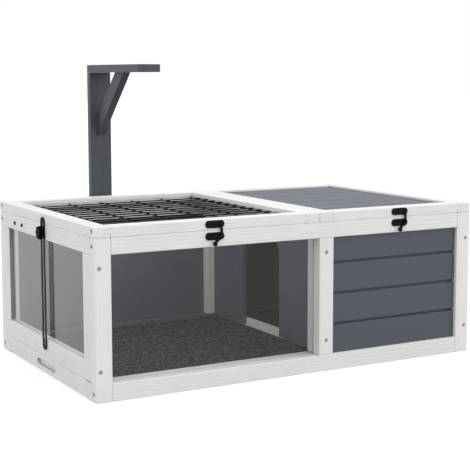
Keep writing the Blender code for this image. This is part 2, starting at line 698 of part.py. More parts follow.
def lids():
    """Both lids: the wire mesh one over the run and the boarded one over the den."""
    run_x1 = SPLIT_X - LID_SEAM
    den_x0 = SPLIT_X + LID_SEAM
    mesh_reach = 2 * WIRE_RADIUS + FIT
    run_lid = lid_frame("mesh_lid", LEFT, run_x1, MESH_Z - mesh_reach, MESH_Z + mesh_reach)
    run_lid.append(wire_mesh(LEFT, run_x1))
    top = LID_TOP - ROOF_RECESS
    den_lid = lid_frame("roof_lid", den_x0, RIGHT, top - ROOF_BOARD_THICKNESS - FIT, top + FIT)
    den_lid.append(roof_boards(den_x0, RIGHT))
    return run_lid, den_lid


def hinge_leaf(name, x, side, spans):
    """A leaf centred at x with knuckles at the spans: above the axis where side is 1, below it where -1."""
    near = HINGE_KNUCKLE_RADIUS + 2 * FIT
    y0 = BACK + FIT
    y1 = y0 + HINGE_LEAF_THICKNESS
    z_near = HINGE_Z + side * near
    z_far = z_near + side * HINGE_LEAF_HEIGHT
    z_lap = z_near + side * JOIN
    half = HINGE_LENGTH / 2
    leaf = box(name, (x - half, y0, min(z_near, z_far)), (x + half, y1, max(z_near, z_far)),
               BLACK_STEEL, 0)
    for x0, x1 in spans:
        tongue = box("tongue", (x + x0 + FIT, y0 + FIT / 2, min(HINGE_Z, z_lap)),
                     (x + x1 - FIT, y1 - FIT / 2, max(HINGE_Z, z_lap)), BLACK_STEEL, 0)
        knuckle = rod("knuckle", (x + x0, HINGE_Y, HINGE_Z), (x + x1, HINGE_Y, HINGE_Z),
                      HINGE_KNUCKLE_RADIUS, BLACK_STEEL, HINGE_SIDES)
        join_on(leaf, tongue, knuckle)
    return leaf


def hinge(name, x):
    """A butt hinge at x: the body's leaf with its two knuckles and the pin, and the lid's leaf with one."""
    half = HINGE_LENGTH / 2
    middle = HINGE_LENGTH * HINGE_MIDDLE_SHARE / 2
    body_leaf = hinge_leaf(name + "_body_leaf", x, -1, [(-half, -middle - FIT), (middle + FIT, half)])
    pin = rod("pin", (x - half + FIT, HINGE_Y, HINGE_Z), (x + half - FIT, HINGE_Y, HINGE_Z),
              HINGE_PIN_RADIUS, BLACK_STEEL, HINGE_SIDES)
    join_on(body_leaf, pin)
    lid_leaf = hinge_leaf(name + "_lid_leaf", x, 1, [(-middle, middle)])
    bore = rod("pin bore", (x - half, HINGE_Y, HINGE_Z), (x + half, HINGE_Y, HINGE_Z),
               HINGE_PIN_RADIUS + FIT, BLACK_STEEL, HINGE_SIDES)
    return body_leaf, cut(lid_leaf, as_cutter(bore))


def latch_plate(name, x, z):
    """A long plate with round ends and a raised barrel across its middle."""
    outline = level(upright_stadium(LATCH_LENGTH, LATCH_HEIGHT, (0, 0), ROUND_STEPS))
    plate = outline_solid(name, [outline], LATCH_PLATE_THICKNESS, BLACK_STEEL,
                          (x, FRONT - FIT - LATCH_PLATE_THICKNESS / 2, z), ALONG_Y)
    face = FRONT - FIT - LATCH_PLATE_THICKNESS
    half_width = LATCH_BARREL_WIDTH / 2
    half_height = LATCH_BARREL_HEIGHT / 2
    barrel = box("barrel", (x - half_width, face - LATCH_BARREL_RISE, z - half_height),
                 (x + half_width, face + LATCH_PLATE_THICKNESS / 2, z + half_height), BLACK_STEEL, 0)
    return join_on(plate, barrel)


def latch_base(name, x):
    """The latch plate on the body, with the rivet that the hook turns on."""
    plate = latch_plate(name, x, LATCH_BASE_Z)
    seat = HOOK_PLANE - HOOK_THICKNESS - FIT
    root = FRONT - FIT - LATCH_PLATE_THICKNESS / 2
    profile = [(0, RIVET_HEAD_THICKNESS), (RIVET_HEAD_RADIUS, RIVET_HEAD_THICKNESS),
               (RIVET_HEAD_RADIUS, 0), (RIVET_RADIUS, 0), (RIVET_RADIUS, seat - root), (0, seat - root)]
    rivet = turned("rivet", profile, 2 * ROUND_STEPS, BLACK_STEEL,
                   (x + HOOK_PIVOT_OFFSET, seat, LATCH_BASE_Z), (0, -1, 0))
    return join_on(plate, rivet)


def band_outline(points, width, steps):
    """The rim of a flat band that follows the points, with round ends."""
    half = width / 2
    rim = []
    for path in (points, points[::-1]):
        headings = [atan2(after[1] - before[1], after[0] - before[0])
                    for before, after in zip(path, path[1:])]
        rim += arc(path[0], half, headings[0] + pi / 2, headings[0] + 3 * pi / 2, steps)
        for point, before, after in zip(path[1:], headings, headings[1:]):
            reach = half / cos((after - before) / 2)
            middle = (before + after - pi) / 2
            rim.append((point[0] + reach * cos(middle), point[1] + reach * sin(middle)))
    return rim


def latch_hook(name, x):
    """The bent lever on the rivet: its tip lies over the keeper and its tail ends in a ball."""
    points = [(HOOK_TIP_OFFSET - HOOK_PIVOT_OFFSET, HOOK_TIP_RISE), (0, 0),
              (HOOK_TAIL_OFFSET - HOOK_PIVOT_OFFSET, -HOOK_TAIL_DROP)]
    hole = circle((0, 0), RIVET_RADIUS + FIT, 2 * ROUND_STEPS)
    place = (x + HOOK_PIVOT_OFFSET, HOOK_PLANE - HOOK_THICKNESS / 2, LATCH_BASE_Z)
    rim = band_outline(points, HOOK_WIDTH, ROUND_STEPS)
    lever = outline_solid(name, [rim, hole], HOOK_THICKNESS, BLACK_STEEL, place, ALONG_Y)
    shape = bmesh.new()
    bmesh.ops.create_uvsphere(shape, u_segments=2 * ROUND_STEPS, v_segments=ROUND_STEPS,
                              radius=HOOK_BALL_RADIUS)
    mesh = bpy.data.meshes.new("ball")
    shape.to_mesh(mesh)
    shape.free()
    ball = add("ball", mesh, BLACK_STEEL,
               (x + HOOK_TAIL_OFFSET, HOOK_PLANE - HOOK_BALL_RADIUS, LATCH_BASE_Z - HOOK_TAIL_DROP))
    return join_on(lever, ball)


def stay(name, x, side):
    """The slotted flat bar beside the lid: a pivot hole at its top and a long slot below it."""
    middle_z = (STAY_TOP_Z + STAY_BOTTOM_Z) / 2
    slot_top = STAY_TOP_Z - STAY_SLOT_DROP
    slot_low = STAY_BOTTOM_Z + STAY_LEG_WIDTH
    slot_centre = (0, (slot_top + slot_low) / 2 - middle_z)
    slot_width = STAY_WIDTH - 2 * STAY_LEG_WIDTH
    outlines = [upright_stadium(STAY_LENGTH, STAY_WIDTH, (0, 0), STAY_STEPS),
                upright_stadium(slot_top - slot_low, slot_width, slot_centre, STAY_STEPS),
                circle((0, STAY_PIVOT_Z - middle_z), PIVOT_SHANK_RADIUS + FIT, STAY_STEPS)]
    place = (x + side * (STAY_STAND + STAY_THICKNESS / 2), STAY_PLACE_Y, middle_z)
    return outline_solid(name, outlines, STAY_THICKNESS, BLACK_STEEL, place, ALONG_X)


def stay_pivot(name, x, side, rail):
    """The screw at the top of a stay, and its hole in the lid's side rail."""
    profile = [(0, PIVOT_HEAD_THICKNESS), (PIVOT_HEAD_RADIUS, PIVOT_HEAD_THICKNESS),
               (PIVOT_HEAD_RADIUS, 0), (PIVOT_SHANK_RADIUS, 0), (PIVOT_SHANK_RADIUS, -PIVOT_LENGTH),
               (0, -PIVOT_LENGTH)]
    head = x + side * (STAY_FACE + FIT)
    end = head - side * (PIVOT_LENGTH + FIT)
    bore = rod(name + " bore", (x + side * OVERRUN, STAY_PLACE_Y, STAY_PIVOT_Z),
               (end, STAY_PLACE_Y, STAY_PIVOT_Z), PIVOT_SHANK_RADIUS + FIT, BLACK_STEEL, STUD_SIDES)
    cut(rail, as_cutter(bore))
    return turned(name, profile, STUD_SIDES, BLACK_STEEL, (head, STAY_PLACE_Y, STAY_PIVOT_Z),
                  (side, 0, 0))


def knob(name, x, side, rail):
    """The lobed hand knob on its stud, which runs through the stay's slot into the rail."""
    count = KNOB_LOBES * KNOB_POINTS_PER_LOBE
    rim = []
    for index in range(count):
        angle = 2 * pi * index / count
        radius = KNOB_RADIUS - KNOB_LOBE_DEPTH * (1 - cos(KNOB_LOBES * angle)) / 2
        rim.append((radius * cos(angle), radius * sin(angle)))
    inner = x + side * (STAY_FACE + FIT)
    middle = inner + side * KNOB_THICKNESS / 2
    place = (middle, STAY_PLACE_Y, STUD_Z)
    body = outline_solid(name, [rim], KNOB_THICKNESS, BLACK_PLASTIC, place, ALONG_X)
    end = x - side * STUD_BURIED
    join_on(body, rod("stud", (end, STAY_PLACE_Y, STUD_Z), place, STUD_RADIUS, BLACK_STEEL, STUD_SIDES))
    bore = rod(name + " bore", (x + side * OVERRUN, STAY_PLACE_Y, STUD_Z),
               (end - side * FIT, STAY_PLACE_Y, STUD_Z), STUD_RADIUS + FIT, BLACK_STEEL, STUD_SIDES)
    cut(rail, as_cutter(bore))
    return body


def spare_holes(rail):
    """The two spare stud holes in the left top rail, towards the back."""
    for y in (HOUSE_Y + SPARE_HOLE_FAR_Y, HOUSE_Y + SPARE_HOLE_NEAR_Y):
        hole = rod("spare hole", (LEFT - OVERRUN, y, STUD_Z), (LEFT + SPARE_HOLE_DEPTH, y, STUD_Z),
                   STUD_RADIUS, BLACK_STEEL, STUD_SIDES)
        cut(rail, as_cutter(hole))


def lamp_bracket():
    """The bracket behind the house: post with its stand-off block, arm and diagonal brace."""
    x0 = LAMP_X - LAMP_WIDTH / 2
    x1 = LAMP_X + LAMP_WIDTH / 2
    top = LAMP_ARM_Z - FIT
    wall = LAMP_FRONT - FIT
    front = wall - BRACE_REACH
    post = box("lamp_post", (x0, LAMP_FRONT, LAMP_FOOT_Z), (x1, LAMP_BACK, top), SLATE)
    block = box("stand-off block", (x0 + FIT, BACK + FIT, LAMP_FOOT_Z + FIT),
                (x1 - FIT, LAMP_FRONT + JOIN, BODY_HEIGHT - FIT), SLATE)
    join_on(post, block)
    arm = box("lamp_arm", (x0, LAMP_BACK - LAMP_ARM_LENGTH, LAMP_ARM_Z), (x1, LAMP_BACK, LAMP_TOP_Z), SLATE)
    slope = atan2(top - BRACE_FOOT_Z, wall - front)
    outline = [(front, top), (front + BRACE_WIDTH / sin(slope), top),
               (wall, BRACE_FOOT_Z + BRACE_WIDTH / cos(slope)), (wall, BRACE_FOOT_Z)]
    brace = outline_solid("lamp_brace", [outline], BRACE_THICKNESS, SLATE, (LAMP_X, 0, 0), ALONG_X)
    return [post, arm, brace]


def carry(name, place, items):
    """Parents the items to an empty, which stands on their joint's axis."""
    carrier = bpy.data.objects.new(name, None)
    carrier.location = place
    parts.objects.link(carrier)
    inverse = Matrix.Translation(Vector(place)).inverted()
    for item in items:
        item.parent = carrier
        item.matrix_parent_inverse = inverse


def build():
    """Makes every piece and hangs each one on the body that carries it."""
    low, high = front_pane_corners(FIT)
    pane_slot = as_cutter(box("front pane slot", low, high, WHITE, 0))
    window = left_window_frame()
    right_rails = right_end_rails()
    spare_holes(window[0])
    house = corner_posts() + mid_posts(pane_slot) + long_rails(pane_slot) + right_rails + window
    house += [box("front_pane", *front_pane_corners(), CLEAR, 0), left_pane()]
    house += floor_battens(pane_slot) + clapboard_walls() + divider() + lamp_bracket()
    run_lid, den_lid = lids()
    for index, (lid, prefix) in enumerate(((run_lid, "mesh_lid"), (den_lid, "roof_lid"))):
        centre = LID_CENTRES[index]
        for side_name, x in (("left", centre - HINGE_SPREAD), ("right", centre + HINGE_SPREAD)):
            body_leaf, lid_leaf = hinge(prefix + "_" + side_name + "_hinge", x)
            house.append(body_leaf)
            lid.append(lid_leaf)
        x = LATCH_PLACES[index]
        house.append(latch_base(prefix + "_latch_base", x))
        lid.append(latch_plate(prefix + "_latch_keeper", x, LATCH_KEEPER_Z))
        carry(prefix + " latch pivot", (x + HOOK_PIVOT_OFFSET, HOOK_PLANE, LATCH_BASE_Z),
              [latch_hook(prefix + "_latch_hook", x)])
    ends = (("left", LEFT, -1, run_lid, run_lid[0], window[0]),
            ("right", RIGHT, 1, den_lid, den_lid[1], right_rails[1]))
    for side_name, x, side, lid, lid_rail, body_rail in ends:
        lid.append(stay_pivot(side_name + "_stay_pivot", x, side, lid_rail))
        carry(side_name + " stay axis", (x, STAY_PLACE_Y, STAY_PIVOT_Z),
              [stay(side_name + "_stay", x, side)])
        carry(side_name + " knob axis", (x, STAY_PLACE_Y, STUD_Z),
              [knob(side_name + "_knob", x, side, body_rail)])
    carry("house", (0, HOUSE_Y, 0), house)
    carry("tray slide", (LEFT, HOUSE_Y, 0), tray())
    carry("mesh lid axis", (LID_CENTRES[0], HINGE_Y, HINGE_Z), run_lid)
    carry("roof lid axis", (LID_CENTRES[1], HINGE_Y, HINGE_Z), den_lid)


build()
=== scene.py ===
from math import atan2, cos, pi, radians, sin

import bmesh
import bpy
import numpy as np
from mathutils import Matrix, Vector


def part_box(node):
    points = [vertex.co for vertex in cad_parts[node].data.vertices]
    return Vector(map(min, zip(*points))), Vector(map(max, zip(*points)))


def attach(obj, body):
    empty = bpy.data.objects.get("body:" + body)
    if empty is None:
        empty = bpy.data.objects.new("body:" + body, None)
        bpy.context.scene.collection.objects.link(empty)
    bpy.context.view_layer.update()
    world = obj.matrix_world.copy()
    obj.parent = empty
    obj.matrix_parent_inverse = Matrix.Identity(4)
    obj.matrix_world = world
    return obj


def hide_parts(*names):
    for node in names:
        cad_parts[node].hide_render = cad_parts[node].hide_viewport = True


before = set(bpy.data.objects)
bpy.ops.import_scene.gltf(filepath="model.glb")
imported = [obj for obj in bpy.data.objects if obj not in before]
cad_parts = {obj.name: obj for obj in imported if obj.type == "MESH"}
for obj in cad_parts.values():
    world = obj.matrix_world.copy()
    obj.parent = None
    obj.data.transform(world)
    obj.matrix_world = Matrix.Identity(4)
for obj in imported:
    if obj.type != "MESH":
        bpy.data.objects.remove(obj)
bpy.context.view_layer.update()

# ------------------------------------------------------------------------------
# White frame: posts, rails, window stiles and floor battens of planed softwood, with their edges
# broken. They are butt jointed and screwed, then sprayed with a thin white paint, through which
# the grain shows as fine embossed streaks and rings along each timber.


def fill(tree, sockets, values):
    """Gives input sockets what they take: an output of another node is linked, a value is set."""
    for key, value in values.items():
        if isinstance(value, bpy.types.NodeSocket):
            tree.links.new(value, sockets[key])
        else:
            sockets[key].default_value = value


def put(tree, kind, values, **settings):
    """Adds a node to a tree and returns its outputs."""
    made = tree.nodes.new(kind)
    for key, value in settings.items():
        setattr(made, key, value)
    fill(tree, made.inputs, values)
    return made.outputs


def maths(tree, operation, *values, clamp=False):
    """One sum on up to three values."""
    return put(tree, "ShaderNodeMath", dict(enumerate(values)), operation=operation, use_clamp=clamp)[0]


def spread(tree, value, low, high, start=0.0, end=1.0):
    """Spreads the range of a value from low to high over the one from start to end."""
    return put(tree, "ShaderNodeMapRange", {"Value": value, "From Min": low, "From Max": high,
                                            "To Min": start, "To Max": end})[0]


def noise(tree, scale, detail, roughness=0.5, place=None):
    """Noise at a place, or at the point's own place on the object."""
    if place is None:
        place = put(tree, "ShaderNodeTexCoord", {})["Object"]
    return put(tree, "ShaderNodeTexNoise", {"Vector": place, "Scale": scale, "Detail": detail,
                                            "Roughness": roughness})[0]


def mixed(tree, share, *colours):
    """A mix of two colours."""
    first, second = [colour if isinstance(colour, bpy.types.NodeSocket) else (*colour, 1.0)
                     for colour in colours]
    return put(tree, "ShaderNodeMix", {0: share, 6: first, 7: second}, data_type="RGBA")[2]


def bumps(tree, strength, distance, height):
    """The normal of a surface with relief."""
    return put(tree, "ShaderNodeBump", {"Strength": strength, "Distance": distance, "Height": height})[0]


def node_group(kind, name, inputs, outputs):
    """A node group's tree, what it is given, and its results. An input is a number or a socket's kind."""
    tree = bpy.data.node_groups.new(name, kind)
    for label, value in inputs.items():
        plain = isinstance(value, str)
        socket_kind = value if plain else type(value).__name__.capitalize()
        socket = tree.interface.new_socket(label, in_out="INPUT", socket_type="NodeSocket" + socket_kind)
        if not plain:
            socket.default_value = value
    for label, socket_kind in outputs.items():
        tree.interface.new_socket(label, in_out="OUTPUT", socket_type="NodeSocket" + socket_kind)
    return tree, tree.nodes.new("NodeGroupInput").outputs, tree.nodes.new("NodeGroupOutput").inputs


grain_group, given, result = node_group(
    "ShaderNodeTree", "Wood grain",
    {"Grain": "Vector", "Streaks along": 16.0, "Streaks across": 520.0, "Ring spacing": 0.0055},
    {"Streaks": "Float", "Rings": "Float", "Height": "Float"})
stretch = put(grain_group, "ShaderNodeCombineXYZ", {
    "X": given["Streaks along"], "Y": given["Streaks across"], "Z": given["Streaks across"]})[0]
streak_place, ring_place = [
    put(grain_group, "ShaderNodeVectorMath", {0: given["Grain"], 1: factors}, operation="MULTIPLY")[0]
    for factors in (stretch, (0.10, 1.0, 1.0))]
streaks = spread(grain_group, noise(grain_group, 1.0, 3.0, 0.6, streak_place), 0.48, 0.72)
ring_wave = put(grain_group, "ShaderNodeTexWave", {
    "Vector": ring_place, "Scale": maths(grain_group, "DIVIDE", pi / 10, given["Ring spacing"]),
    "Distortion": 9.0, "Detail": 3.0, "Detail Scale": 0.5, "Detail Roughness": 0.62},
    wave_type="RINGS", rings_direction="X")["Fac"]
rings = spread(grain_group, ring_wave, 0.55, 1.0)
hollow = maths(grain_group, "MULTIPLY_ADD", streaks, 0.8, rings)
fill(grain_group, result, {"Streaks": streaks, "Rings": rings,
                           "Height": maths(grain_group, "SUBTRACT", 1.0, hollow)})


def new_material(name):
    """A material, its tree and the inputs of its surface."""
    material = bpy.data.materials.new(name)
    material.use_nodes = True
    tree = material.node_tree
    return material, tree, tree.nodes["Principled BSDF"].inputs


def painted_wood(name, colour, line_colour, streaks, rings, roughness, relief, edge_highlight_colour):
    """Painted softwood: its grain shows as darker lines and as relief, and its rounded edges are painted
    lighter, a painted highlight.
    """
    material, tree, surface = new_material(name)
    grain = put(tree, "ShaderNodeAttribute", {}, attribute_name="grain")["Vector"]
    figure = put(tree, "ShaderNodeGroup", {"Grain": grain}, node_tree=grain_group)
    lines = maths(tree, "MULTIPLY_ADD", figure["Rings"], rings,
                  maths(tree, "MULTIPLY", figure["Streaks"], streaks))
    tone = spread(tree, noise(tree, 11.0, 2.0), 0.3, 0.7, 0.0, 0.16)
    shade = maths(tree, "ADD", lines, tone, clamp=True)
    # The rounded edges are mixed half way to the lighter edge colour: a painted highlight.
    edge = put(tree, "ShaderNodeAttribute", {}, attribute_name="edge")["Fac"]
    fill(tree, surface, {
        "Base Color": mixed(tree, maths(tree, "MULTIPLY", edge, 0.5),
                            mixed(tree, shade, colour, line_colour), edge_highlight_colour),
        "Roughness": spread(tree, shade, 0.0, 1.0, roughness, roughness + 0.2),
        "Normal": bumps(tree, relief, 0.0008, figure["Height"])})
    return material


def round_edges(shape, radius, segments=2, angle=25, where=None):
    """Rounds a bmesh where its faces turn by more than an angle, and marks the middle of each rounding."""
    edges = [edge for edge in shape.edges
             if edge.is_manifold and edge.calc_face_angle(0) > radians(angle)
             and (not where or where(edge))]
    made = bmesh.ops.bevel(shape, geom=edges, offset=radius, offset_type="OFFSET", segments=segments,
                           profile=0.5, affect="EDGES", clamp_overlap=True)
    rounding = set(made["faces"])
    # This mark on the rounded edges is where the paints are drawn lighter, as a painted highlight.
    rounding_mark = shape.verts.layers.float.get("edge") or shape.verts.layers.float.new("edge")
    for vert in shape.verts:
        vert[rounding_mark] = float(all(face in rounding for face in vert.link_faces))
    return shape


def as_mesh(shape, name):
    """Turns a bmesh into a mesh."""
    mesh = bpy.data.meshes.new(name)
    shape.to_mesh(mesh)
    shape.free()
    return mesh


def cad_copy(node, radius=0.00018, seat=0.0):
    """A copy of a CAD node's mesh with whole faces and rounded edges. Seat lowers its foot a little."""
    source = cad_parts[node].data
    plain = bpy.data.meshes.new(node)
    plain.from_pydata([tuple(point.co) for point in source.vertices], [],
                      [tuple(face.vertices) for face in source.polygons])
    shape = bmesh.new()
    shape.from_mesh(plain)
    bpy.data.meshes.remove(plain)
    bmesh.ops.remove_doubles(shape, verts=shape.verts, dist=0.00001)
    bmesh.ops.dissolve_limit(shape, angle_limit=radians(1), verts=shape.verts, edges=shape.edges)
    foot = min(vert.co.z for vert in shape.verts) + 0.0001
    for vert in shape.verts:
        if vert.co.z < foot:
            vert.co.z -= seat
    return as_mesh(round_edges(shape, radius), node)


def read(items, name, width=1, kind=float):
    """One value of every item in an array, with a row for an item where it has several numbers."""
    values = np.empty(len(items) * width, kind)
    items.foreach_get(name, values)
    return values.reshape(-1, width) if width > 1 else values


def soft_normals(mesh):
    """Shades rounded edges smooth, and keeps the large faces beside them flat."""
    mesh.shade_smooth()
    face_normal = read(mesh.polygons, "normal", 3)
    area = read(mesh.polygons, "area")
    sides = read(mesh.polygons, "loop_total", kind=int)
    face = np.repeat(np.arange(len(sides)), sides)
    point = read(mesh.loops, "vertex_index", kind=int)
    order = np.argsort(point, kind="stable")
    count = np.bincount(point, minlength=len(mesh.vertices))
    first = np.cumsum(count) - count
    here = np.repeat(np.arange(len(point)), count[point])
    step = np.arange(len(here)) - np.repeat(np.cumsum(count[point]) - count[point], count[point])
    there = order[first[point[here]] + step]
    near = (face_normal[face[here]] * face_normal[face[there]]).sum(1) > 0.6
    normal = np.zeros((len(point), 3))
    np.add.at(normal, here[near], (area[face[there]][:, None] * face_normal[face[there]])[near])
    normal /= np.maximum(np.linalg.norm(normal, axis=1), 1e-12)[:, None]
    mesh.normals_split_custom_set(normal.tolist())
    return mesh


def mark_grain(mesh, along, seed, tilt=0.0):
    """Stores each point's place in its own timber, grain first. Tilt turns the grain about X."""
    points = read(mesh.vertices, "co", 3) @ np.array(Matrix.Rotation(tilt, 3, "X"))
    ends = read(mesh.edges, "vertices", 2, int)
    timber = np.arange(len(points))
    while True:
        before = timber.copy()
        least = np.minimum(timber[ends[:, 0]], timber[ends[:, 1]])
        np.minimum.at(timber, ends[:, 0], least)
        np.minimum.at(timber, ends[:, 1], least)
        if (before == timber).all():
            break
    chance = np.random.default_rng(seed)
    grain = np.roll(points, -along, axis=1)
    for one in np.unique(timber):
        own = timber == one
        centre = (grain[own].min(0) + grain[own].max(0)) / 2
        grain[own] += chance.uniform((0, -0.02, 0.02), (5, 0.02, 0.05)) - centre
    mesh.attributes.new("grain", "FLOAT_VECTOR", "POINT").data.foreach_set("vector", grain.ravel())
    return mesh


def add_object(name, data):
    """A new object in the scene."""
    item = bpy.data.objects.new(name, data)
    bpy.context.scene.collection.objects.link(item)
    return item


def place_piece(name, mesh, material, body, slot, *nodes):
    """Hangs a finished mesh on its body, in its material, and hides the CAD nodes it stands for."""
    mesh.materials.clear()
    mesh.materials.append(material)
    piece = add_object(name, soft_normals(mesh))
    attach(piece, body)
    if nodes:
        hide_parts(*nodes)


def turned(profile, steps, place, facing):
    """The mesh of a turned piece: its profile of radius and height runs from axis to axis."""
    shape = bmesh.new()
    points = [shape.verts.new((radius, 0, height)) for radius, height in profile]
    rims = [shape.edges.new(pair) for pair in zip(points, points[1:])]
    bmesh.ops.spin(shape, geom=points + rims, cent=(0, 0, 0), axis=(0, 0, 1), angle=2 * pi, steps=steps,
                   use_merge=True)
    bmesh.ops.remove_doubles(shape, verts=shape.verts, dist=0.000001)
    bmesh.ops.recalc_face_normals(shape, faces=shape.faces)
    turn = Vector(facing).to_track_quat("Z", "Y").to_matrix().to_4x4()
    bmesh.ops.transform(shape, matrix=Matrix.Translation(place) @ turn, verts=shape.verts)
    return as_mesh(shape, "turned")


def joined(*meshes):
    """Several meshes in one."""
    shape = bmesh.new()
    for mesh in meshes:
        shape.from_mesh(mesh)
    return as_mesh(shape, "joined")


def finished_mesh(item):
    """The plain mesh of an object as its modifiers or its curve make it."""
    graph = bpy.context.evaluated_depsgraph_get()
    return bpy.data.meshes.new_from_object(item.evaluated_get(graph))


def carved(mesh, others, operation="DIFFERENCE"):
    """Cuts meshes out of a mesh, or joins them on to it, one after the other."""
    target = add_object("carved piece", mesh)
    tools = [add_object("tool", other) for other in others]
    for tool in tools:
        modifier = target.modifiers.new("carve", "BOOLEAN")
        modifier.solver = "EXACT"
        modifier.operation = operation
        modifier.object = tool
    made = finished_mesh(target)
    for item in [target] + tools:
        bpy.data.objects.remove(item)
    return made


white_paint = painted_wood("white paint on softwood", (0.775, 0.775, 0.765), (0.60, 0.605, 0.61),
                           0.32, 0.17, 0.48, 0.24, (0.80, 0.80, 0.79))
left_x, front_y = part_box("front_left_post")[0].xy
right_x, back_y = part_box("back_right_post")[1].xy
screw_inset = 0.0125
end_screw_heights = (0.311, 0.016)
face_screw_heights = (0.268, 0.062)
mid_screw_heights = (0.262, 0.068)
frame_screws = {}
for depth, side, x, away in (("front", "left", -0.457, -1), ("front", "mid", 0.072, 0),
                             ("front", "right", 0.457, 1), ("back", "left", -0.457, -1),
                             ("back", "right", 0.457, 1)):
    face, out = (front_y, -1) if depth == "front" else (back_y, 1)
    heights = face_screw_heights if away else mid_screw_heights
    screws = [((x, face, height), (0, out, 0)) for height in heights]
    if away:
        end = left_x if away < 0 else right_x
        screws += [((end, face - out * screw_inset, height), (away, 0, 0)) for height in end_screw_heights]
    frame_screws[depth + "_" + side + "_post"] = screws
countersink = [(0, 0.001), (0.0047, 0.001), (0.0047, 0), (0.0044, -0.0012), (0.0022, -0.0032), (0, -0.0032)]


def white_timber(node, body, seed, screws=(), cuts=(), tongues=(), seat=0.0):
    """A white timber in place of its CAD node, countersunk for its screws and cut for its joints."""
    holes = [turned(countersink, 24, place, facing) for place, facing in screws]
    mesh = carved(carved(cad_copy(node, seat=seat), tongues, "UNION"), holes + list(cuts))
    low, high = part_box(node)
    along = int(np.argmax(np.array(high - low)))
    place_piece(node + "_timber", mark_grain(mesh, along, seed), white_paint, body,
                "white_painted_wood", node)


for seed, node in enumerate((
        "front_left_post", "front_mid_post", "front_right_post", "back_left_post", "back_mid_post",
        "back_right_post", "front_top_rail", "front_bottom_rail", "back_top_rail", "back_bottom_rail",
        "right_top_rail", "right_bottom_rail", "left_top_rail", "left_front_stile",
        "divider_top_rail")):
    white_timber(node, "house", seed, frame_screws.get(node, ()))

# ------------------------------------------------------------------------------
# Frame screws: countersunk steel screws with a cross recess, zinc plated. Those in the end faces are drawn
# much darker, as painted shade. Each is driven a little below the face of its timber and leaves a ring of
# countersink.


def screw_steel(name, dark, light):
    """Plated steel: small crystals that differ in colour and gloss."""
    material, tree, surface = new_material(name)
    spangle = noise(tree, 900.0, 2.0)
    fill(tree, surface, {
        "Base Color": mixed(tree, spangle, (dark, dark, dark * 1.02), (light, light, light * 1.02)),
        "Metallic": 1.0, "Roughness": spread(tree, spangle, 0.0, 1.0, 0.28, 0.50)})
    return material


def block(corner, other, radius, segments=3):
    """The mesh of a rectangular piece between two opposite corners, with rounded edges."""
    corner, other = Vector(corner), Vector(other)
    shape = bmesh.new()
    bmesh.ops.create_cube(shape, size=1)
    bmesh.ops.scale(shape, vec=[abs(length) for length in other - corner], verts=shape.verts)
    bmesh.ops.translate(shape, vec=(corner + other) / 2, verts=shape.verts)
    if radius > 0:
        round_edges(shape, radius, segments)
    return as_mesh(shape, "block")


def cross_head(profile, recess_length, recess_width, recess_depth):
    """A screw head that faces up, with a cross recess, to be set wherever a screw goes."""
    top = max(height for radius, height in profile)
    slots = [block((-length / 2, -width / 2, top - recess_depth),
                   (length / 2, width / 2, top + recess_depth), 0)
             for length, width in ((recess_length, recess_width), (recess_width, recess_length))]
    return add_object("screw head", carved(turned(profile, 20, (0, 0, 0), (0, 0, 1)), slots))


def end_tree(tree, given, result, instances):
    """Ends a Geometry Nodes tree: its instances become real and get the material."""
    real = put(tree, "GeometryNodeRealizeInstances", {"Geometry": instances})[0]
    dressed = put(tree, "GeometryNodeSetMaterial", {"Geometry": real, "Material": given["Material"]})[0]
    fill(tree, result, {"Geometry": dressed})


screw_tree, given, result = node_group(
    "GeometryNodeTree", "Screws at points",
    {"Geometry": "Geometry", "Head": "Object", "Seed": 3, "Material": "Material"}, {"Geometry": "Geometry"})
facing = put(screw_tree, "GeometryNodeInputNamedAttribute", {"Name": "facing"},
             data_type="FLOAT_VECTOR")["Attribute"]
upright = put(screw_tree, "FunctionNodeAlignRotationToVector", {"Vector": facing}, axis="Z")[0]
spin = put(screw_tree, "FunctionNodeRandomValue", {2: 0.0, 3: pi / 2, "Seed": given["Seed"]},
           data_type="FLOAT")[1]
spin_turn = put(screw_tree, "ShaderNodeCombineXYZ", {"Z": spin})[0]
turned_head = put(screw_tree, "FunctionNodeRotateRotation", {"Rotation": upright, "Rotate By": spin_turn},
                  rotation_space="LOCAL")[0]
head = put(screw_tree, "GeometryNodeObjectInfo", {"Object": given["Head"]},
           transform_space="ORIGINAL")["Geometry"]
end_tree(screw_tree, given, result, put(screw_tree, "GeometryNodeInstanceOnPoints", {
    "Points": given["Geometry"], "Instance": head, "Rotation": turned_head})[0])


def grow(tree, base, sizes):
    """Runs a Geometry Nodes tree with named sizes on a mesh, and returns the plain mesh it makes."""
    item = add_object(tree.name, base)
    modifier = item.modifiers.new(tree.name, "NODES")
    modifier.node_group = tree
    for socket in tree.interface.items_tree:
        if socket.item_type == "SOCKET" and socket.in_out == "INPUT" and socket.name in sizes:
            modifier[socket.identifier] = sizes[socket.name]
    made = finished_mesh(item)
    item.modifiers.clear()
    bpy.data.objects.remove(item)
    return made


def set_screws(name, places, head, material, body, seed):
    """Screw heads at places, each with its own facing, as one piece of a body."""
    base = bpy.data.meshes.new(name)
    base.from_pydata([place for place, facing in places], [], [])
    base.attributes.new("facing", "FLOAT_VECTOR", "POINT").data.foreach_set(
        "vector", [value for place, facing in places for value in facing])
    made = grow(screw_tree, base, {"Head": head, "Seed": seed, "Material": material})
    place_piece(name, made, material, body, "black_steel")


zinc = screw_steel("zinc plated steel", 0.28, 0.44)
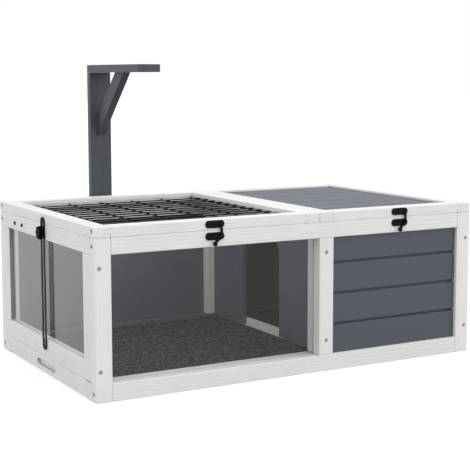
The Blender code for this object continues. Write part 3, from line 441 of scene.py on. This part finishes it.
# The screws in end faces get a much darker zinc than those in the front and back: painted shade.
zinc_in_painted_shade = screw_steel("blackened zinc plated steel", 0.05, 0.12)
zinc_head = cross_head([(0, -0.0006), (0.0028, -0.00064), (0.0041, -0.0009), (0.0041, -0.0012),
                        (0.0021, -0.0030), (0, -0.0030)], 0.0042, 0.0010, 0.0012)
for name, in_end, steel, seed in (("face_screws", False, zinc, 5), ("end_screws", True, zinc_in_painted_shade, 6)):
    places = [(place, facing) for screws in frame_screws.values() for place, facing in screws
              if bool(facing[0]) == in_end]
    set_screws(name, places, zinc_head, steel, "house", seed)

# ------------------------------------------------------------------------------
# Clear panes: acrylic sheet in the front of the run and in the left window. The front one lies in
# rebates behind the rails. The left one stands on its sill in grooves, a wide one in the back stile.

rail_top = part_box("front_bottom_rail")[1].z
above_rail = block((-1, -1, rail_top), (1, 1, rail_top + 0.1), 0)
white_timber("front_floor_batten", "house", 21, (), [above_rail])
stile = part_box("left_back_stile")[0]
glazing_groove = block((left_x + 0.0012, stile.y - 0.01, stile.z - 0.01),
                       (left_x + 0.0150, stile.y + 0.027, 0.4), 0)
white_timber("left_back_stile", "house", 20, (), [glazing_groove])
sill_low, sill_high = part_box("left_sill_rail")
sill_top = block((left_x + 0.003, sill_low.y + 0.001, sill_high.z - 0.009),
                 (left_x + 0.018, sill_high.y - 0.001, sill_high.z), 0)
white_timber("left_sill_rail", "house", 22, (), (), [sill_top])
acrylic, tree, surface = new_material("clear acrylic")
wipe_marks = noise(tree, 7.0, 4.0)
fill(tree, surface, {"Base Color": (0.985, 0.988, 0.99, 1.0), "Transmission Weight": 1.0, "IOR": 1.32,
                     "Roughness": spread(tree, wipe_marks, 0.35, 0.75, 0.0, 0.015)})
in_shadow = put(tree, "ShaderNodeLightPath", {})["Is Shadow Ray"]
let_through = put(tree, "ShaderNodeBsdfTransparent", {"Color": (0.97, 0.975, 0.98, 1.0)})[0]
fill(tree, tree.nodes["Material Output"].inputs, {"Surface": put(tree, "ShaderNodeMixShader", {
    0: in_shadow, 1: tree.nodes["Principled BSDF"].outputs[0], 2: let_through})[0]})
for node, foot in (("front_pane", 0.0), ("left_pane", sill_high.z + 0.0002)):
    low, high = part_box(node)
    sheet = block((low.x, low.y, max(low.z, foot)), high, 0.0002, 2)
    place_piece(node + "_sheet", sheet, acrylic, "house", "clear_acrylic", node)

# ------------------------------------------------------------------------------
# Clapboards: grey boards with a narrow channel between neighbours, where the tongue of each shows
# behind the foot of the next. They are nailed to an upright batten near either end of the wall.


def plate(outlines, thickness, rim, place, turn, where=None):
    """The mesh of a flat plate from closed outlines, the first its edge and any others holes in it."""
    curve = bpy.data.curves.new("plate", "CURVE")
    curve.dimensions = "2D"
    curve.fill_mode = "BOTH"
    curve.extrude = thickness / 2
    for outline in outlines:
        spline = curve.splines.new("POLY")
        spline.points.add(len(outline) - 1)
        for point, (across, up) in zip(spline.points, outline):
            point.co = (across, up, 0, 1)
        spline.use_cyclic_u = True
    item = add_object("plate", curve)
    shape = bmesh.new()
    shape.from_mesh(finished_mesh(item))
    bpy.data.objects.remove(item)
    bmesh.ops.remove_doubles(shape, verts=shape.verts, dist=0.000005)
    bmesh.ops.dissolve_limit(shape, angle_limit=radians(0.5), verts=shape.verts, edges=shape.edges)
    bmesh.ops.recalc_face_normals(shape, faces=shape.faces)
    if rim > 0:
        round_edges(shape, rim, 3, 50, where)
    bmesh.ops.transform(shape, matrix=Matrix.Translation(place) @ turn, verts=shape.verts)
    return as_mesh(shape, "plate")


facing_front = Matrix.Rotation(pi / 2, 4, "X")
facing_side = Matrix.Rotation(pi / 2, 4, "Z") @ facing_front
board_tree, given, result = node_group(
    "GeometryNodeTree", "Row of boards",
    {"Geometry": "Geometry", "Board": "Object", "Count": 4, "First": "Vector", "Step": "Vector",
     "Turn": "Vector", "Place": "Vector", "Material": "Material"}, {"Geometry": "Geometry"})
board = put(board_tree, "GeometryNodeObjectInfo", {"Object": given["Board"]},
            transform_space="ORIGINAL")["Geometry"]
row = put(board_tree, "GeometryNodeMeshLine", {
    "Count": given["Count"], "Start Location": given["First"], "Offset": given["Step"]}, mode="OFFSET")[0]
laid = put(board_tree, "GeometryNodeInstanceOnPoints", {"Points": row, "Instance": board})[0]
turned_row = put(board_tree, "GeometryNodeTransform", {
    "Geometry": laid, "Translation": given["Place"], "Rotation": given["Turn"]})[0]
end_tree(board_tree, given, result, turned_row)


def board_row(board_mesh, material, sizes):
    """A row of like boards, as one plain mesh."""
    board_object = add_object("board", board_mesh)
    made = grow(board_tree, bpy.data.meshes.new("boards"),
                {**sizes, "Board": board_object, "Material": material})
    bpy.data.objects.remove(board_object)
    return made


clap_grey = painted_wood("blue grey paint on clapboards", (0.065, 0.074, 0.092), (0.049, 0.056, 0.071),
                         0.15, 0.10, 0.42, 0.08, (0.081, 0.092, 0.113))
# The inner boards take a paler copy of the wall grey: painted light, for light that the inside lacks.
inner_grey_painted_light = painted_wood("blue grey paint on inner boards", (0.088, 0.099, 0.120), (0.067, 0.076, 0.094),
                          0.15, 0.10, 0.42, 0.08, (0.104, 0.117, 0.140))
joint_gap = 0.0003
clap_low = rail_top + joint_gap
clap_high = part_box("right_top_rail")[0].z - joint_gap
clap_count = 4
clap_pitch = 0.068
clap_thickness = 0.012
clap_edge = 0.0007
channel_height = 0.006
channel_depth = 0.0065
batten_width = 0.020
batten_depth = 0.0045
batten_edge = 0.0008
recess = 0.008


def clapboards(node, paint, outer, length, heading, batten_side, seed):
    """One wall of clapboards with its two battens. Outer is the middle of its face's foot line."""
    face_top = clap_pitch - channel_height
    section = [(0, 0), (clap_thickness, 0), (clap_thickness, clap_pitch), (channel_depth, clap_pitch),
               (channel_depth, face_top), (0, face_top)]
    top_height = clap_high - clap_low - (clap_count - 1) * clap_pitch
    top_section = [(0, 0), (clap_thickness, 0), (clap_thickness, top_height), (0, top_height)]
    place = {"Step": (0.0, 0.0, clap_pitch), "Turn": (0.0, 0.0, heading), "Place": outer}
    rows = []
    for outline, count, foot in ((section, clap_count - 1, clap_low),
                                 (top_section, 1, clap_high - top_height)):
        one = plate([outline], length, clap_edge, (0, 0, 0), facing_side,
                    lambda edge: all(abs(end.co.x) < 0.00001 for end in edge.verts))
        rows.append(board_row(one, paint, {**place, "Count": count, "First": (0.0, 0.0, foot)}))
    walls = mark_grain(joined(*rows), 1 if abs(sin(heading)) > 0.5 else 0, seed)
    turn = Matrix.Translation(outer) @ Matrix.Rotation(heading, 4, "Z")
    battens = []
    for side in (-1, 1):
        x = side * (length / 2 - batten_width / 2 - joint_gap)
        batten = block((x - batten_width / 2, batten_side, clap_low + joint_gap),
                       (x + batten_width / 2, batten_side + batten_depth, clap_high - joint_gap),
                       batten_edge)
        batten.transform(turn)
        battens.append(mark_grain(batten, 2, seed + 40 + side))
    place_piece(node + "_row", joined(walls, *battens), paint, "house", "grey_painted_wood", node)


middle_y = (front_y + back_y) / 2
low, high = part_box("front_clapboards")
clapboards("front_clapboards", clap_grey, ((low.x + high.x) / 2, front_y + recess, 0.0), high.x - low.x,
           0.0, clap_thickness, 100)
low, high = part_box("right_clapboards")
clapboards("right_clapboards", clap_grey, (right_x - recess, middle_y, 0.0), high.y - low.y, pi / 2,
           clap_thickness, 110)
# The back wall takes the paler inner grey, painted light.
low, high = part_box("back_clapboards")
clapboards("back_clapboards", inner_grey_painted_light, (0.0, low.y + clap_thickness, 0.0), high.x - low.x, pi,
           -batten_depth, 120)

# ------------------------------------------------------------------------------
# Back floor batten: it carries the drawer along the foot of the back wall and is painted grey with
# that wall. Only its sawn end, which shows on the left face beside the drawer, is white.

batten_low, batten_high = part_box("back_floor_batten")
paint_edge = left_x + 0.0118
# The run of the batten takes the paler inner grey of the wall, painted light.
for name, x0, x1, paint, slot in (
        ("back_floor_batten_end", paint_edge, 1, white_paint, "white_painted_wood"),
        ("back_floor_batten_run", -1, paint_edge, inner_grey_painted_light, "grey_painted_wood")):
    rest = block((x0, batten_low.y - 0.01, -0.01), (x1, batten_high.y + 0.01, 0.1), 0)
    place_piece(name, mark_grain(carved(cad_copy("back_floor_batten"), [rest]), 0, 128), paint, "house", slot,
                "back_floor_batten")

# ------------------------------------------------------------------------------
# Divider: four upright boards between run and den, with a doorway that has round top corners.
# They are nailed to a low white cross rail, which also is the doorway's threshold.


def arc(centre, radius, start, turn, steps):
    """Points on an arc round a centre, from a starting angle through a turn, with both its ends."""
    angles = [start + turn * step / steps for step in range(steps + 1)]
    return [(centre[0] + radius * cos(angle), centre[1] + radius * sin(angle)) for angle in angles]


divider_low, divider_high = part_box("divider_wall")
divider_thickness = 0.009
divider_count = 4
divider_pitch = (divider_high.y - divider_low.y) / divider_count
divider_foot = divider_low.z + 0.0051
cross_rail_height = 0.019
divider_board = block((divider_low.x, divider_low.y, divider_foot),
                      (divider_low.x + divider_thickness, divider_low.y + divider_pitch - joint_gap,
                       divider_high.z), 0.0018)
# The divider boards take the paler inner grey, painted light.
divider_boards = board_row(divider_board, inner_grey_painted_light,
                           {"Count": divider_count, "Step": (0.0, divider_pitch, 0.0)})
doorway_half = 0.085
doorway_foot = 0.02
doorway_top = 0.262
doorway_corner = 0.030
doorway = [(-doorway_half, doorway_foot), (doorway_half, doorway_foot)]
for side, start in ((1, 0), (-1, pi / 2)):
    doorway += arc((side * (doorway_half - doorway_corner), doorway_top - doorway_corner),
                   doorway_corner, start, pi / 2, 12)
doorway_tool = plate([doorway], 0.03, 0, (divider_low.x, middle_y, 0), facing_side)
divider_boards = mark_grain(carved(divider_boards, [doorway_tool]), 2, 130)
place_piece("divider_boards", divider_boards, inner_grey_painted_light, "house", "grey_painted_wood", "divider_wall")
cross_rail = block((divider_low.x + divider_thickness + joint_gap, divider_low.y + joint_gap, divider_low.z),
                   (divider_high.x, divider_high.y - joint_gap, divider_low.z + cross_rail_height), 0.0012)
place_piece("cross_rail", mark_grain(cross_rail, 1, 135), white_paint, "house", "white_painted_wood")

# ------------------------------------------------------------------------------
# Drawer floor: a white front board with a long blind slot for the fingers, and behind it a thin
# board on battens that is lined with a charcoal grit felt. It pulls out at the left end.


def stadium(length, width, height=0.0, steps=20):
    """The outline of an upright long shape with round ends, its middle at a height."""
    radius = width / 2
    reach = length / 2 - radius
    return (arc((0, height + reach), radius, 0, pi, steps)
            + arc((0, height - reach), radius, pi, pi, steps))


def level(outline):
    """An upright outline laid on its side."""
    return [(-up, across) for across, up in outline]


slot_length = 0.111
slot_height = 0.014
slot_depth = 0.0075
slot_y = -0.01815
slot_z = 0.0195
finger_slot = plate([level(stadium(slot_length, slot_height))], 2 * slot_depth, 0,
                    (left_x, slot_y, slot_z), facing_side)
tray_front_board = carved(block(*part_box("tray_front"), 0.0010), [finger_slot])
place_piece("tray_front_board", mark_grain(tray_front_board, 1, 140), white_paint, "tray",
            "white_painted_wood", "tray_front")
# The slot's walls are drawn a darker grey than the white board: painted shade in the slot.
slot_painted_shade = painted_wood("thin paint in the finger slot", (0.52, 0.52, 0.51), (0.40, 0.40, 0.39),
                          0.3, 0.2, 0.6, 0.2, (0.58, 0.58, 0.57))
slot_wall = plate([level(stadium(slot_length - inset, slot_height - inset)) for inset in (0.0001, 0.0009)],
                  slot_depth - 0.0006, 0, (left_x + slot_depth / 2, slot_y, slot_z), facing_side)
place_piece("finger_slot_wall", mark_grain(slot_wall, 1, 141), slot_painted_shade, "tray", "white_painted_wood")

lining, tree, surface = new_material("charcoal grit lining")
lining_place = put(tree, "ShaderNodeTexCoord", {})["Object"]
grit = put(tree, "ShaderNodeTexVoronoi", {"Vector": lining_place, "Scale": 330.0})["Color"]
grit_grey = put(tree, "ShaderNodeSeparateColor", {0: grit})[0]
grit_mix = maths(tree, "MULTIPLY_ADD", grit_grey, 0.35, noise(tree, 120.0, 4.0, 0.75, lining_place))
grit_tone = spread(tree, grit_mix, 0.60, 0.92)
fill(tree, surface, {
    "Base Color": mixed(tree, grit_tone, (0.003, 0.003, 0.003), (0.115, 0.115, 0.110)),
    "Roughness": 0.92, "Specular IOR Level": 0.2, "Normal": bumps(tree, 0.7, 0.0012, grit_mix)})
place_piece("tray_lined_floor", cad_copy("tray_floor", 0.0003), lining, "tray", "lined_board",
            "tray_floor")

# ------------------------------------------------------------------------------
# Lids: each is a white frame of two side rails and two cross rails, grooved inside. Every cross rail
# ends in a short tongue that is let into the side rail. The left frame holds the wire mesh and the
# right one the grey boards, and a screw shows at each outer corner.

lid_screw_z = 0.341
lid_screws = {
    lid + "_" + side + "_rail": [((x, y, lid_screw_z), (out, 0, 0))
                                 for y in (front_y + screw_inset, back_y - screw_inset)]
    for lid, side, x, out in (("mesh_lid", "left", left_x, -1), ("roof_lid", "right", right_x, 1))}
tongue_length = 0.0115
tongue_height = 0.0072
tongue_depth = 0.003
tongue_root = 0.002
pocket_room = 0.0004
lid_seat = 0.0002
for lid, seed in (("mesh_lid", 30), ("roof_lid", 40)):
    pockets = {"left": [], "right": []}
    for end, face, back in (("front", front_y, -1), ("back", back_y, 1)):
        low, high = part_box(lid + "_" + end + "_rail")
        middle_z = (low.z + high.z) / 2
        tongues = []
        for side, x, out in (("left", low.x, -1), ("right", high.x, 1)):
            for made, room, rise in ((tongues, 0.0, 0.0), (pockets[side], pocket_room, 0.01)):
                half = tongue_height / 2 + room
                made.append(block((x - out * tongue_root, face + back * rise, middle_z - half),
                                  (x + out * (tongue_length + room), face - back * (tongue_depth + room),
                                   middle_z + half), 0))
        white_timber(lid + "_" + end + "_rail", lid, seed + len(end), (), (), tongues, lid_seat)
    for side in ("left", "right"):
        node = lid + "_" + side + "_rail"
        white_timber(node, lid, seed + len(side), lid_screws.get(node, ()), pockets[side], (), lid_seat)
# The lid screws sit in end faces and take the darker zinc, painted shade.
for lid, screws, seed in zip(("mesh_lid", "roof_lid"), lid_screws.values(), (6, 7)):
    set_screws(lid + "_screws", screws, zinc_head, zinc_in_painted_shade, lid, seed)
bpy.data.objects.remove(zinc_head)

# ------------------------------------------------------------------------------
# Wire mesh: thirteen long steel wires laid over six short ones and welded at each crossing, then
# coated black. The ends of the wires stand in the groove of the left lid.

coat_group, given, result = node_group("ShaderNodeTree", "Fine coat", {"Scale": 1200.0},
                                       {"Tone": "Float", "Height": "Float"})
fill(coat_group, result, {"Tone": noise(coat_group, 30.0, 2.0),
                          "Height": noise(coat_group, given["Scale"], 2.0)})


def black_finish(name, dark, light, smooth, rough, shine, relief, scale):
    """A black finish: its colour and roughness drift a little, over a fine skin."""
    material, tree, surface = new_material(name)
    coat = put(tree, "ShaderNodeGroup", {"Scale": scale}, node_tree=coat_group)
    fill(tree, surface, {
        "Base Color": mixed(tree, coat["Tone"], (dark, dark, dark * 1.06), (light, light, light * 1.06)),
        "Roughness": spread(tree, coat["Tone"], 0.3, 0.7, smooth, rough), "Specular IOR Level": shine,
        "Normal": bumps(tree, relief, 0.0001, coat["Height"])})
    return material


black_steel = black_finish("black coated steel", 0.003, 0.009, 0.30, 0.46, 0.10, 0.25, 1500.0)


def place_steel(node, body, *meshes):
    """Hangs a black steel piece on its body in place of its CAD node."""
    place_piece(node + "_steel", joined(*meshes), black_steel, body, "black_steel", node)


wire_tree, given, result = node_group(
    "GeometryNodeTree", "Welded wire",
    {"Geometry": "Geometry", "Radius": 0.0015, "Sides": 12,
     "Long count": 13, "Long wire": "Vector", "Long first": "Vector", "Long step": "Vector",
     "Short count": 6, "Short wire": "Vector", "Short first": "Vector", "Short step": "Vector",
     "Material": "Material"}, {"Geometry": "Geometry"})
both = wire_tree.nodes.new("GeometryNodeJoinGeometry")
for kind in ("Short", "Long"):
    rim = put(wire_tree, "GeometryNodeCurvePrimitiveCircle",
              {"Resolution": given["Sides"], "Radius": given["Radius"]}, mode="RADIUS")[0]
    line = put(wire_tree, "GeometryNodeCurvePrimitiveLine",
               {"Start": (0.0, 0.0, 0.0), "End": given[kind + " wire"]}, mode="POINTS")[0]
    wire = put(wire_tree, "GeometryNodeCurveToMesh",
               {"Curve": line, "Profile Curve": rim, "Fill Caps": True})[0]
    starts = put(wire_tree, "GeometryNodeMeshLine",
                 {"Count": given[kind + " count"], "Start Location": given[kind + " first"],
                  "Offset": given[kind + " step"]}, mode="OFFSET")[0]
    fill(wire_tree, both.inputs, {0: put(wire_tree, "GeometryNodeInstanceOnPoints",
                                         {"Points": starts, "Instance": wire})[0]})
end_tree(wire_tree, given, result, both.outputs[0])
wire_low, wire_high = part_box("wire_mesh")
wire_radius = 0.0015
long_pitch = 0.0378
short_pitch = 0.0805
short_inset = 0.0035
mesh_wires = grow(wire_tree, bpy.data.meshes.new("wires"), {
    "Radius": wire_radius, "Sides": 12, "Long count": 13, "Short count": 6,
    "Long wire": (wire_high.x - wire_low.x, 0.0, 0.0),
    "Long first": (wire_low.x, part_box("mesh_lid_back_rail")[0].y - long_pitch, wire_high.z - wire_radius),
    "Long step": (0.0, -long_pitch, 0.0),
    "Short wire": (0.0, wire_high.y - wire_low.y, 0.0),
    "Short first": (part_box("mesh_lid_right_rail")[0].x - short_inset, wire_low.y, wire_low.z + wire_radius),
    "Short step": (-short_pitch, 0.0, 0.0), "Material": black_steel})
place_piece("mesh_wires", mesh_wires, black_steel, "mesh_lid", "black_steel", "wire_mesh")

# ------------------------------------------------------------------------------
# Roof boards: seven grey boards side by side in the groove of the right lid, each with rounded
# edges, so that a fine groove shows between neighbours. Painted a lighter grey than the walls.

roof_grey = painted_wood("grey paint on roof boards", (0.095, 0.108, 0.135), (0.070, 0.080, 0.102),
                         0.30, 0.22, 0.50, 0.16, (0.115, 0.130, 0.160))
roof_low, roof_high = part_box("roof_boards")
roof_count = 7
roof_gap = 0.0008
roof_pitch = (roof_high.y - roof_low.y) / roof_count
roof_board = block(roof_low, (roof_high.x, roof_low.y + roof_pitch - roof_gap, roof_high.z), 0.0025)
roof_row = board_row(roof_board, roof_grey, {"Count": roof_count, "Step": (0.0, roof_pitch, 0.0)})
place_piece("roof_board_row", mark_grain(roof_row, 0, 150), roof_grey, "roof_lid", "roof_board_grey",
            "roof_boards")

# ------------------------------------------------------------------------------
# Hinges: four black butt hinges behind the lids. The lower leaf is screwed to the body and holds
# the pin between its two knuckles, and the upper leaf turns on the pin with the middle knuckle.

black_head = cross_head([(0, 0.0010), (0.0010, 0.00095), (0.0018, 0.0006), (0.0021, 0.0002),
                         (0.0021, 0), (0, 0)], 0.0022, 0.0005, 0.0006)
hinge_y = 0.27685
hinge_z = 0.328
hinge_half = 0.015
middle_half = 0.005
knuckle_gap = 0.0003
knuckle_radius = 0.004
knuckle_edge = 0.0004
leaf_face = back_y + 0.0003
leaf_thickness = 0.0015
leaf_height = 0.0150
leaf_rise = 0.0046
leaf_screw_rise = 0.0115
leaf_screw_spread = 0.0105
pin_radius = 0.0015


def axle(radius, edge, steps, x0, x1):
    """A round piece with broken ends on the hinge's axis, between two places along it."""
    rim = [(0, 0), (radius - edge, 0), (radius, edge)]
    profile = rim + [(width, x1 - x0 - height) for width, height in reversed(rim)]
    return turned(profile, steps, (x0, hinge_y, hinge_z), (1, 0, 0))


def hinge_leaf(name, body, x, side, spans, *extras):
    """A leaf with its knuckles: above the pin where side is 1, below it where it is -1."""
    near = hinge_z + side * leaf_rise
    outside = leaf_face + leaf_thickness
    leaf = [block((x - hinge_half, leaf_face, near), (x + hinge_half, outside, near + side * leaf_height),
                  0.0004)]
    for x0, x1 in spans:
        leaf.append(block((x + x0 + 0.0003, leaf_face + 0.0001, hinge_z),
                          (x + x1 - 0.0003, outside - 0.0001, near + side * 0.001), 0.0001))
        leaf.append(axle(knuckle_radius, knuckle_edge, 32, x + x0, x + x1))
    place_steel(name, body, *leaf, *extras)
    return [((x + across, outside, hinge_z + side * leaf_screw_rise), (0, 1, 0))
            for across in (-leaf_screw_spread, 0, leaf_screw_spread)]


body_screws = []
outer_spans = [(-hinge_half, -middle_half - knuckle_gap), (middle_half + knuckle_gap, hinge_half)]
for lid in ("mesh_lid", "roof_lid"):
    screws = []
    for side in ("left", "right"):
        name = lid + "_" + side + "_hinge"
        low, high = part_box(name + "_body_leaf")
        x = (low.x + high.x) / 2
        pin = axle(pin_radius, 0.0003, 20, x - hinge_half, x + hinge_half)
        body_screws += hinge_leaf(name + "_body_leaf", "house", x, -1, outer_spans, pin)
        screws += hinge_leaf(name + "_lid_leaf", lid, x, 1, [(-middle_half, middle_half)])
    set_screws(lid + "_hinge_screws", screws, black_head, black_steel, lid, 11)
set_screws("body_hinge_screws", body_screws, black_head, black_steel, "house", 12)

# ------------------------------------------------------------------------------
# Latches: under each lid's front rail a black plate carries a bent hook on a rivet, and a second
# plate on the lid is its keeper. The hook's tip lies over the keeper and its tail ends in a ball.

latch_face = front_y - 0.0003
latch_plate_thickness = 0.0015
latch_front = latch_face - latch_plate_thickness
latch_outline = level(stadium(0.044, 0.016))
base_z = 0.3158
keeper_z = 0.3405
plate_screw_x = 0.0155
hook_plane = -0.30115
hook_thickness = 0.0022
hook_pivot = 0.0145
ball_radius = 0.0050
ball_profile = [(ball_radius * sin(pi * step / 16), ball_radius * cos(pi * step / 16))
                for step in range(17)]
rivet_seat = hook_plane - hook_thickness - 0.0003
rivet_foot = rivet_seat - latch_face + 0.0004
rivet_profile = [(0, 0.0012), (0.0016, 0.00115), (0.0028, 0.0008), (0.0034, 0.0002), (0.0034, 0),
                 (0.0014, 0), (0.0014, rivet_foot), (0, rivet_foot)]


def band(points, width, steps=12):
    """The outline of a flat band that follows points, with round ends."""
    half = width / 2
    rim = []
    for path in (points, points[::-1]):
        headings = [atan2(after[1] - before[1], after[0] - before[0])
                    for before, after in zip(path, path[1:])]
        rim += arc(path[0], half, headings[0] + pi / 2, pi, steps)
        for point, before, after in zip(path[1:], headings, headings[1:]):
            reach = half / cos((after - before) / 2)
            middle = (before + after - pi) / 2
            rim.append((point[0] + reach * cos(middle), point[1] + reach * sin(middle)))
    return rim


def circle(radius, steps, height=0.0):
    """The outline of a round hole, its middle at a height."""
    return arc((0, height), radius, 0, 2 * pi, steps)[:-1]


def latch_plate(x, z):
    """A long plate with round ends and a raised barrel across its middle."""
    flat = plate([latch_outline], latch_plate_thickness, 0.0004,
                 (x, latch_face - latch_plate_thickness / 2, z), facing_front)
    barrel = block((x - 0.005, latch_front - 0.0014, z - 0.0055),
                   (x + 0.005, latch_front + 0.0005, z + 0.0055), 0.0007)
    return [flat, barrel]


for lid, x in (("mesh_lid", -0.2025), ("roof_lid", 0.2655)):
    rivet = turned(rivet_profile, 24, (x + hook_pivot, rivet_seat, base_z), (0, -1, 0))
    place_steel(lid + "_latch_base", "house", *latch_plate(x, base_z), rivet)
    place_steel(lid + "_latch_keeper", lid, *latch_plate(x, keeper_z))
    lever = plate([band([(-0.0015, 0.0225), (0, 0), (-0.0175, -0.0150)], 0.0055), circle(0.0017, 20)],
                  hook_thickness, 0.0006, (x + hook_pivot, hook_plane - hook_thickness / 2, base_z),
                  facing_front)
    ball = turned(ball_profile, 28, (x + hook_pivot - 0.0175, hook_plane - ball_radius, base_z - 0.0150),
                  (0, -1, 0))
    place_steel(lid + "_latch_hook", lid + "_hook", lever, ball)
    for name, sides, z, body, seed in (("_keeper_screws", (-1, 1), keeper_z, lid, 13),
                                       ("_latch_base_screw", (-1,), base_z, "house", 14)):
        screws = [((x + side * plate_screw_x, latch_front, z), (0, -1, 0)) for side in sides]
        set_screws(lid + name, screws, black_head, black_steel, body, seed)
bpy.data.objects.remove(black_head)

# ------------------------------------------------------------------------------
# Stays: a flat black steel bar at either end, turning on a screw in the lid's side rail. Its long
# slot runs on a stud in the body, and a lobed knob on the stud clamps it to hold the lid open. Two
# spare holes beside the left stud have black inserts for it too, each a cup closed at its foot, whose
# black bottom is painted shade in the hole.

black_plastic = black_finish("black moulded plastic", 0.0015, 0.0035, 0.42, 0.58, 0.04, 0.35, 700.0)
stay_y = -0.01815
stay_top = 0.3425
stay_length = 0.2888
stay_width = 0.0220
stay_slot_width = 0.0100
stay_slot_top = stay_top - 0.0100
stay_slot_low = stay_top - stay_length + 0.0060
stay_thickness = 0.0022
stay_stand = 0.0008
stud_z = 0.3095
pivot_z = 0.3375
knob_lobes = 7
knob_steps = 14 * knob_lobes
knob_radius = 0.0145
lobe_depth = 0.0032
knob_thickness = 0.0105
stud_length = 0.0137
thread_turns = 12
insert_profile = [(0, -0.0095), (0.0022, -0.0095), (0.0022, 0.0016), (0.0026, 0.0020), (0.0038, 0.0020),
                  (0.0044, 0.0013), (0.0046, 0.0001), (0.0029, 0.0001), (0.0029, -0.0105), (0, -0.0105)]
pivot_profile = [(0, 0.0014), (0.0020, 0.0013), (0.0036, 0.0009), (0.0044, 0.0003), (0.0045, 0),
                 (0.0020, 0), (0.0020, -0.0157), (0.0016, -0.0160), (0, -0.0160)]
boss_profile = [(0, 0.0003), (0.0052, 0.0003), (0.0060, -0.0002), (0.0060, -0.0010), (0, -0.0010)]
# Each insert is a black cup closed at its foot, so that the hole reads dark: painted shade.
insert_places = (0.132, 0.180)
inserts = [turned(insert_profile, 24, (left_x, middle_y + place, stud_z), (-1, 0, 0))
           for place in insert_places]
place_piece("spare_stud_inserts", joined(*inserts), black_steel, "house", "black_steel")
middle_z = stay_top - stay_length / 2
stay_outlines = [stadium(stay_length, stay_width, steps=28),
                 stadium(stay_slot_top - stay_slot_low, stay_slot_width,
                         (stay_slot_top + stay_slot_low) / 2 - middle_z),
                 circle(0.0023, 24, pivot_z - middle_z)]
knob_rim = []
for step in range(knob_steps):
    angle = 2 * pi * step / knob_steps
    radius = knob_radius - lobe_depth * (1 - cos(knob_lobes * angle)) / 2
    knob_rim.append((radius * cos(angle), radius * sin(angle)))
thread_profile = [(0, 0), (0.0024, 0)]
for ring in range(thread_turns):
    thread_profile += [(0.0030, (ring + 0.5) * stud_length / thread_turns),
                       (0.0026, (ring + 1) * stud_length / thread_turns)]
thread_profile.append((0, stud_length))
for name, x, side, lid in (("left", left_x, -1, "mesh_lid"), ("right", right_x, 1, "roof_lid")):
    bar = plate(stay_outlines, stay_thickness, 0.0006,
                (x + side * (stay_stand + stay_thickness / 2), stay_y, middle_z), facing_side)
    place_steel(name + "_stay", name + "_stay_bar", bar)
    head_x = x + side * (stay_stand + stay_thickness + joint_gap)
    pivot = turned(pivot_profile, 28, (head_x, stay_y, pivot_z), (side, 0, 0))
    place_steel(name + "_stay_pivot", lid, pivot)
    grip = plate([knob_rim], knob_thickness, 0.0020, (head_x + side * knob_thickness / 2, stay_y, stud_z),
                 facing_side)
    boss = turned(boss_profile, 28, (head_x + side * knob_thickness, stay_y, stud_z), (side, 0, 0))
    stud = turned(thread_profile, 20, (x - side * 0.010, stay_y, stud_z), (side, 0, 0))
    place_piece(name + "_hand_knob_lobed", joined(grip, boss, stud), black_plastic, name + "_hand_knob",
                "black_plastic", name + "_knob")

# ------------------------------------------------------------------------------
# Lamp bracket: a slate grey post with a stand-off block behind the house, an arm that reaches
# over the run and a diagonal brace between them. Butt jointed and painted, with faint grain.

slate = painted_wood("slate grey paint on softwood", (0.056, 0.065, 0.079), (0.039, 0.046, 0.058),
                     0.30, 0.22, 0.45, 0.20, (0.073, 0.083, 0.100))
brace_rise = 0.1705
brace_reach = 0.1600
for node, along, seed, tilt in (("lamp_post", 2, 161, 0.0), ("lamp_arm", 1, 162, 0.0),
                                ("lamp_brace", 1, 163, -atan2(brace_rise, brace_reach))):
    place_piece(node + "_timber", mark_grain(cad_copy(node), along, seed, tilt), slate, "house",
                "slate_painted_wood", node)

# ------------------------------------------------------------------------------
# Studio: a pale floor under even light, with one soft key light high on the right in front. What
# the camera, glossy and clear surfaces see of the surroundings is white. The camera stands at the
# photograph's angle.

white = (1.0, 1.0, 1.0, 1.0)
floor_shape = bmesh.new()
bmesh.ops.create_grid(floor_shape, x_segments=2, y_segments=2, size=30)
floor = add_object("floor", as_mesh(floor_shape, "floor"))
floor_paint, tree, surface = new_material("pale floor")
rays = put(tree, "ShaderNodeLightPath", {})
mirrored = maths(tree, "MAXIMUM", rays["Is Glossy Ray"], rays["Is Transmission Ray"])
glow = maths(tree, "MULTIPLY_ADD", rays["Is Camera Ray"], 0.60, maths(tree, "MULTIPLY", mirrored, 0.40))
fill(tree, surface, {"Base Color": (0.43, 0.43, 0.43, 1.0), "Roughness": 0.9, "Emission Color": white,
                     "Emission Strength": glow})
floor.data.materials.append(floor_paint)

world = bpy.data.worlds.new("studio")
bpy.context.scene.world = world
world.use_nodes = True
tree = world.node_tree
rays = put(tree, "ShaderNodeLightPath", {})
seen = maths(tree, "MAXIMUM", maths(tree, "MAXIMUM", rays["Is Camera Ray"], rays["Is Glossy Ray"]),
             rays["Is Transmission Ray"])
fill(tree, tree.nodes["Background"].inputs,
     {"Color": white, "Strength": spread(tree, seen, 0.0, 1.0, 1.20, 1.0)})

key = bpy.data.lights.new("key", "SUN")
key.energy = 0.55
key.angle = radians(50)
key_light = add_object("key light", key)
key_light.rotation_euler = Vector((1.3, -1.0, 1.1)).to_track_quat("Z", "Y").to_euler()

lens = bpy.data.cameras.new("camera")
lens.lens = 91.85
lens.sensor_width = 36.0
lens.shift_x = -0.0416
lens.shift_y = -0.0414
lens.clip_end = 100.0
camera = add_object("camera", lens)
camera.location = (-1.3467, -2.44465, 0.6411)
camera.rotation_euler = (radians(90 - 6.637), 0, radians(-29.973))
bpy.context.scene.camera = camera
bpy.context.scene.view_settings.view_transform = "Standard"
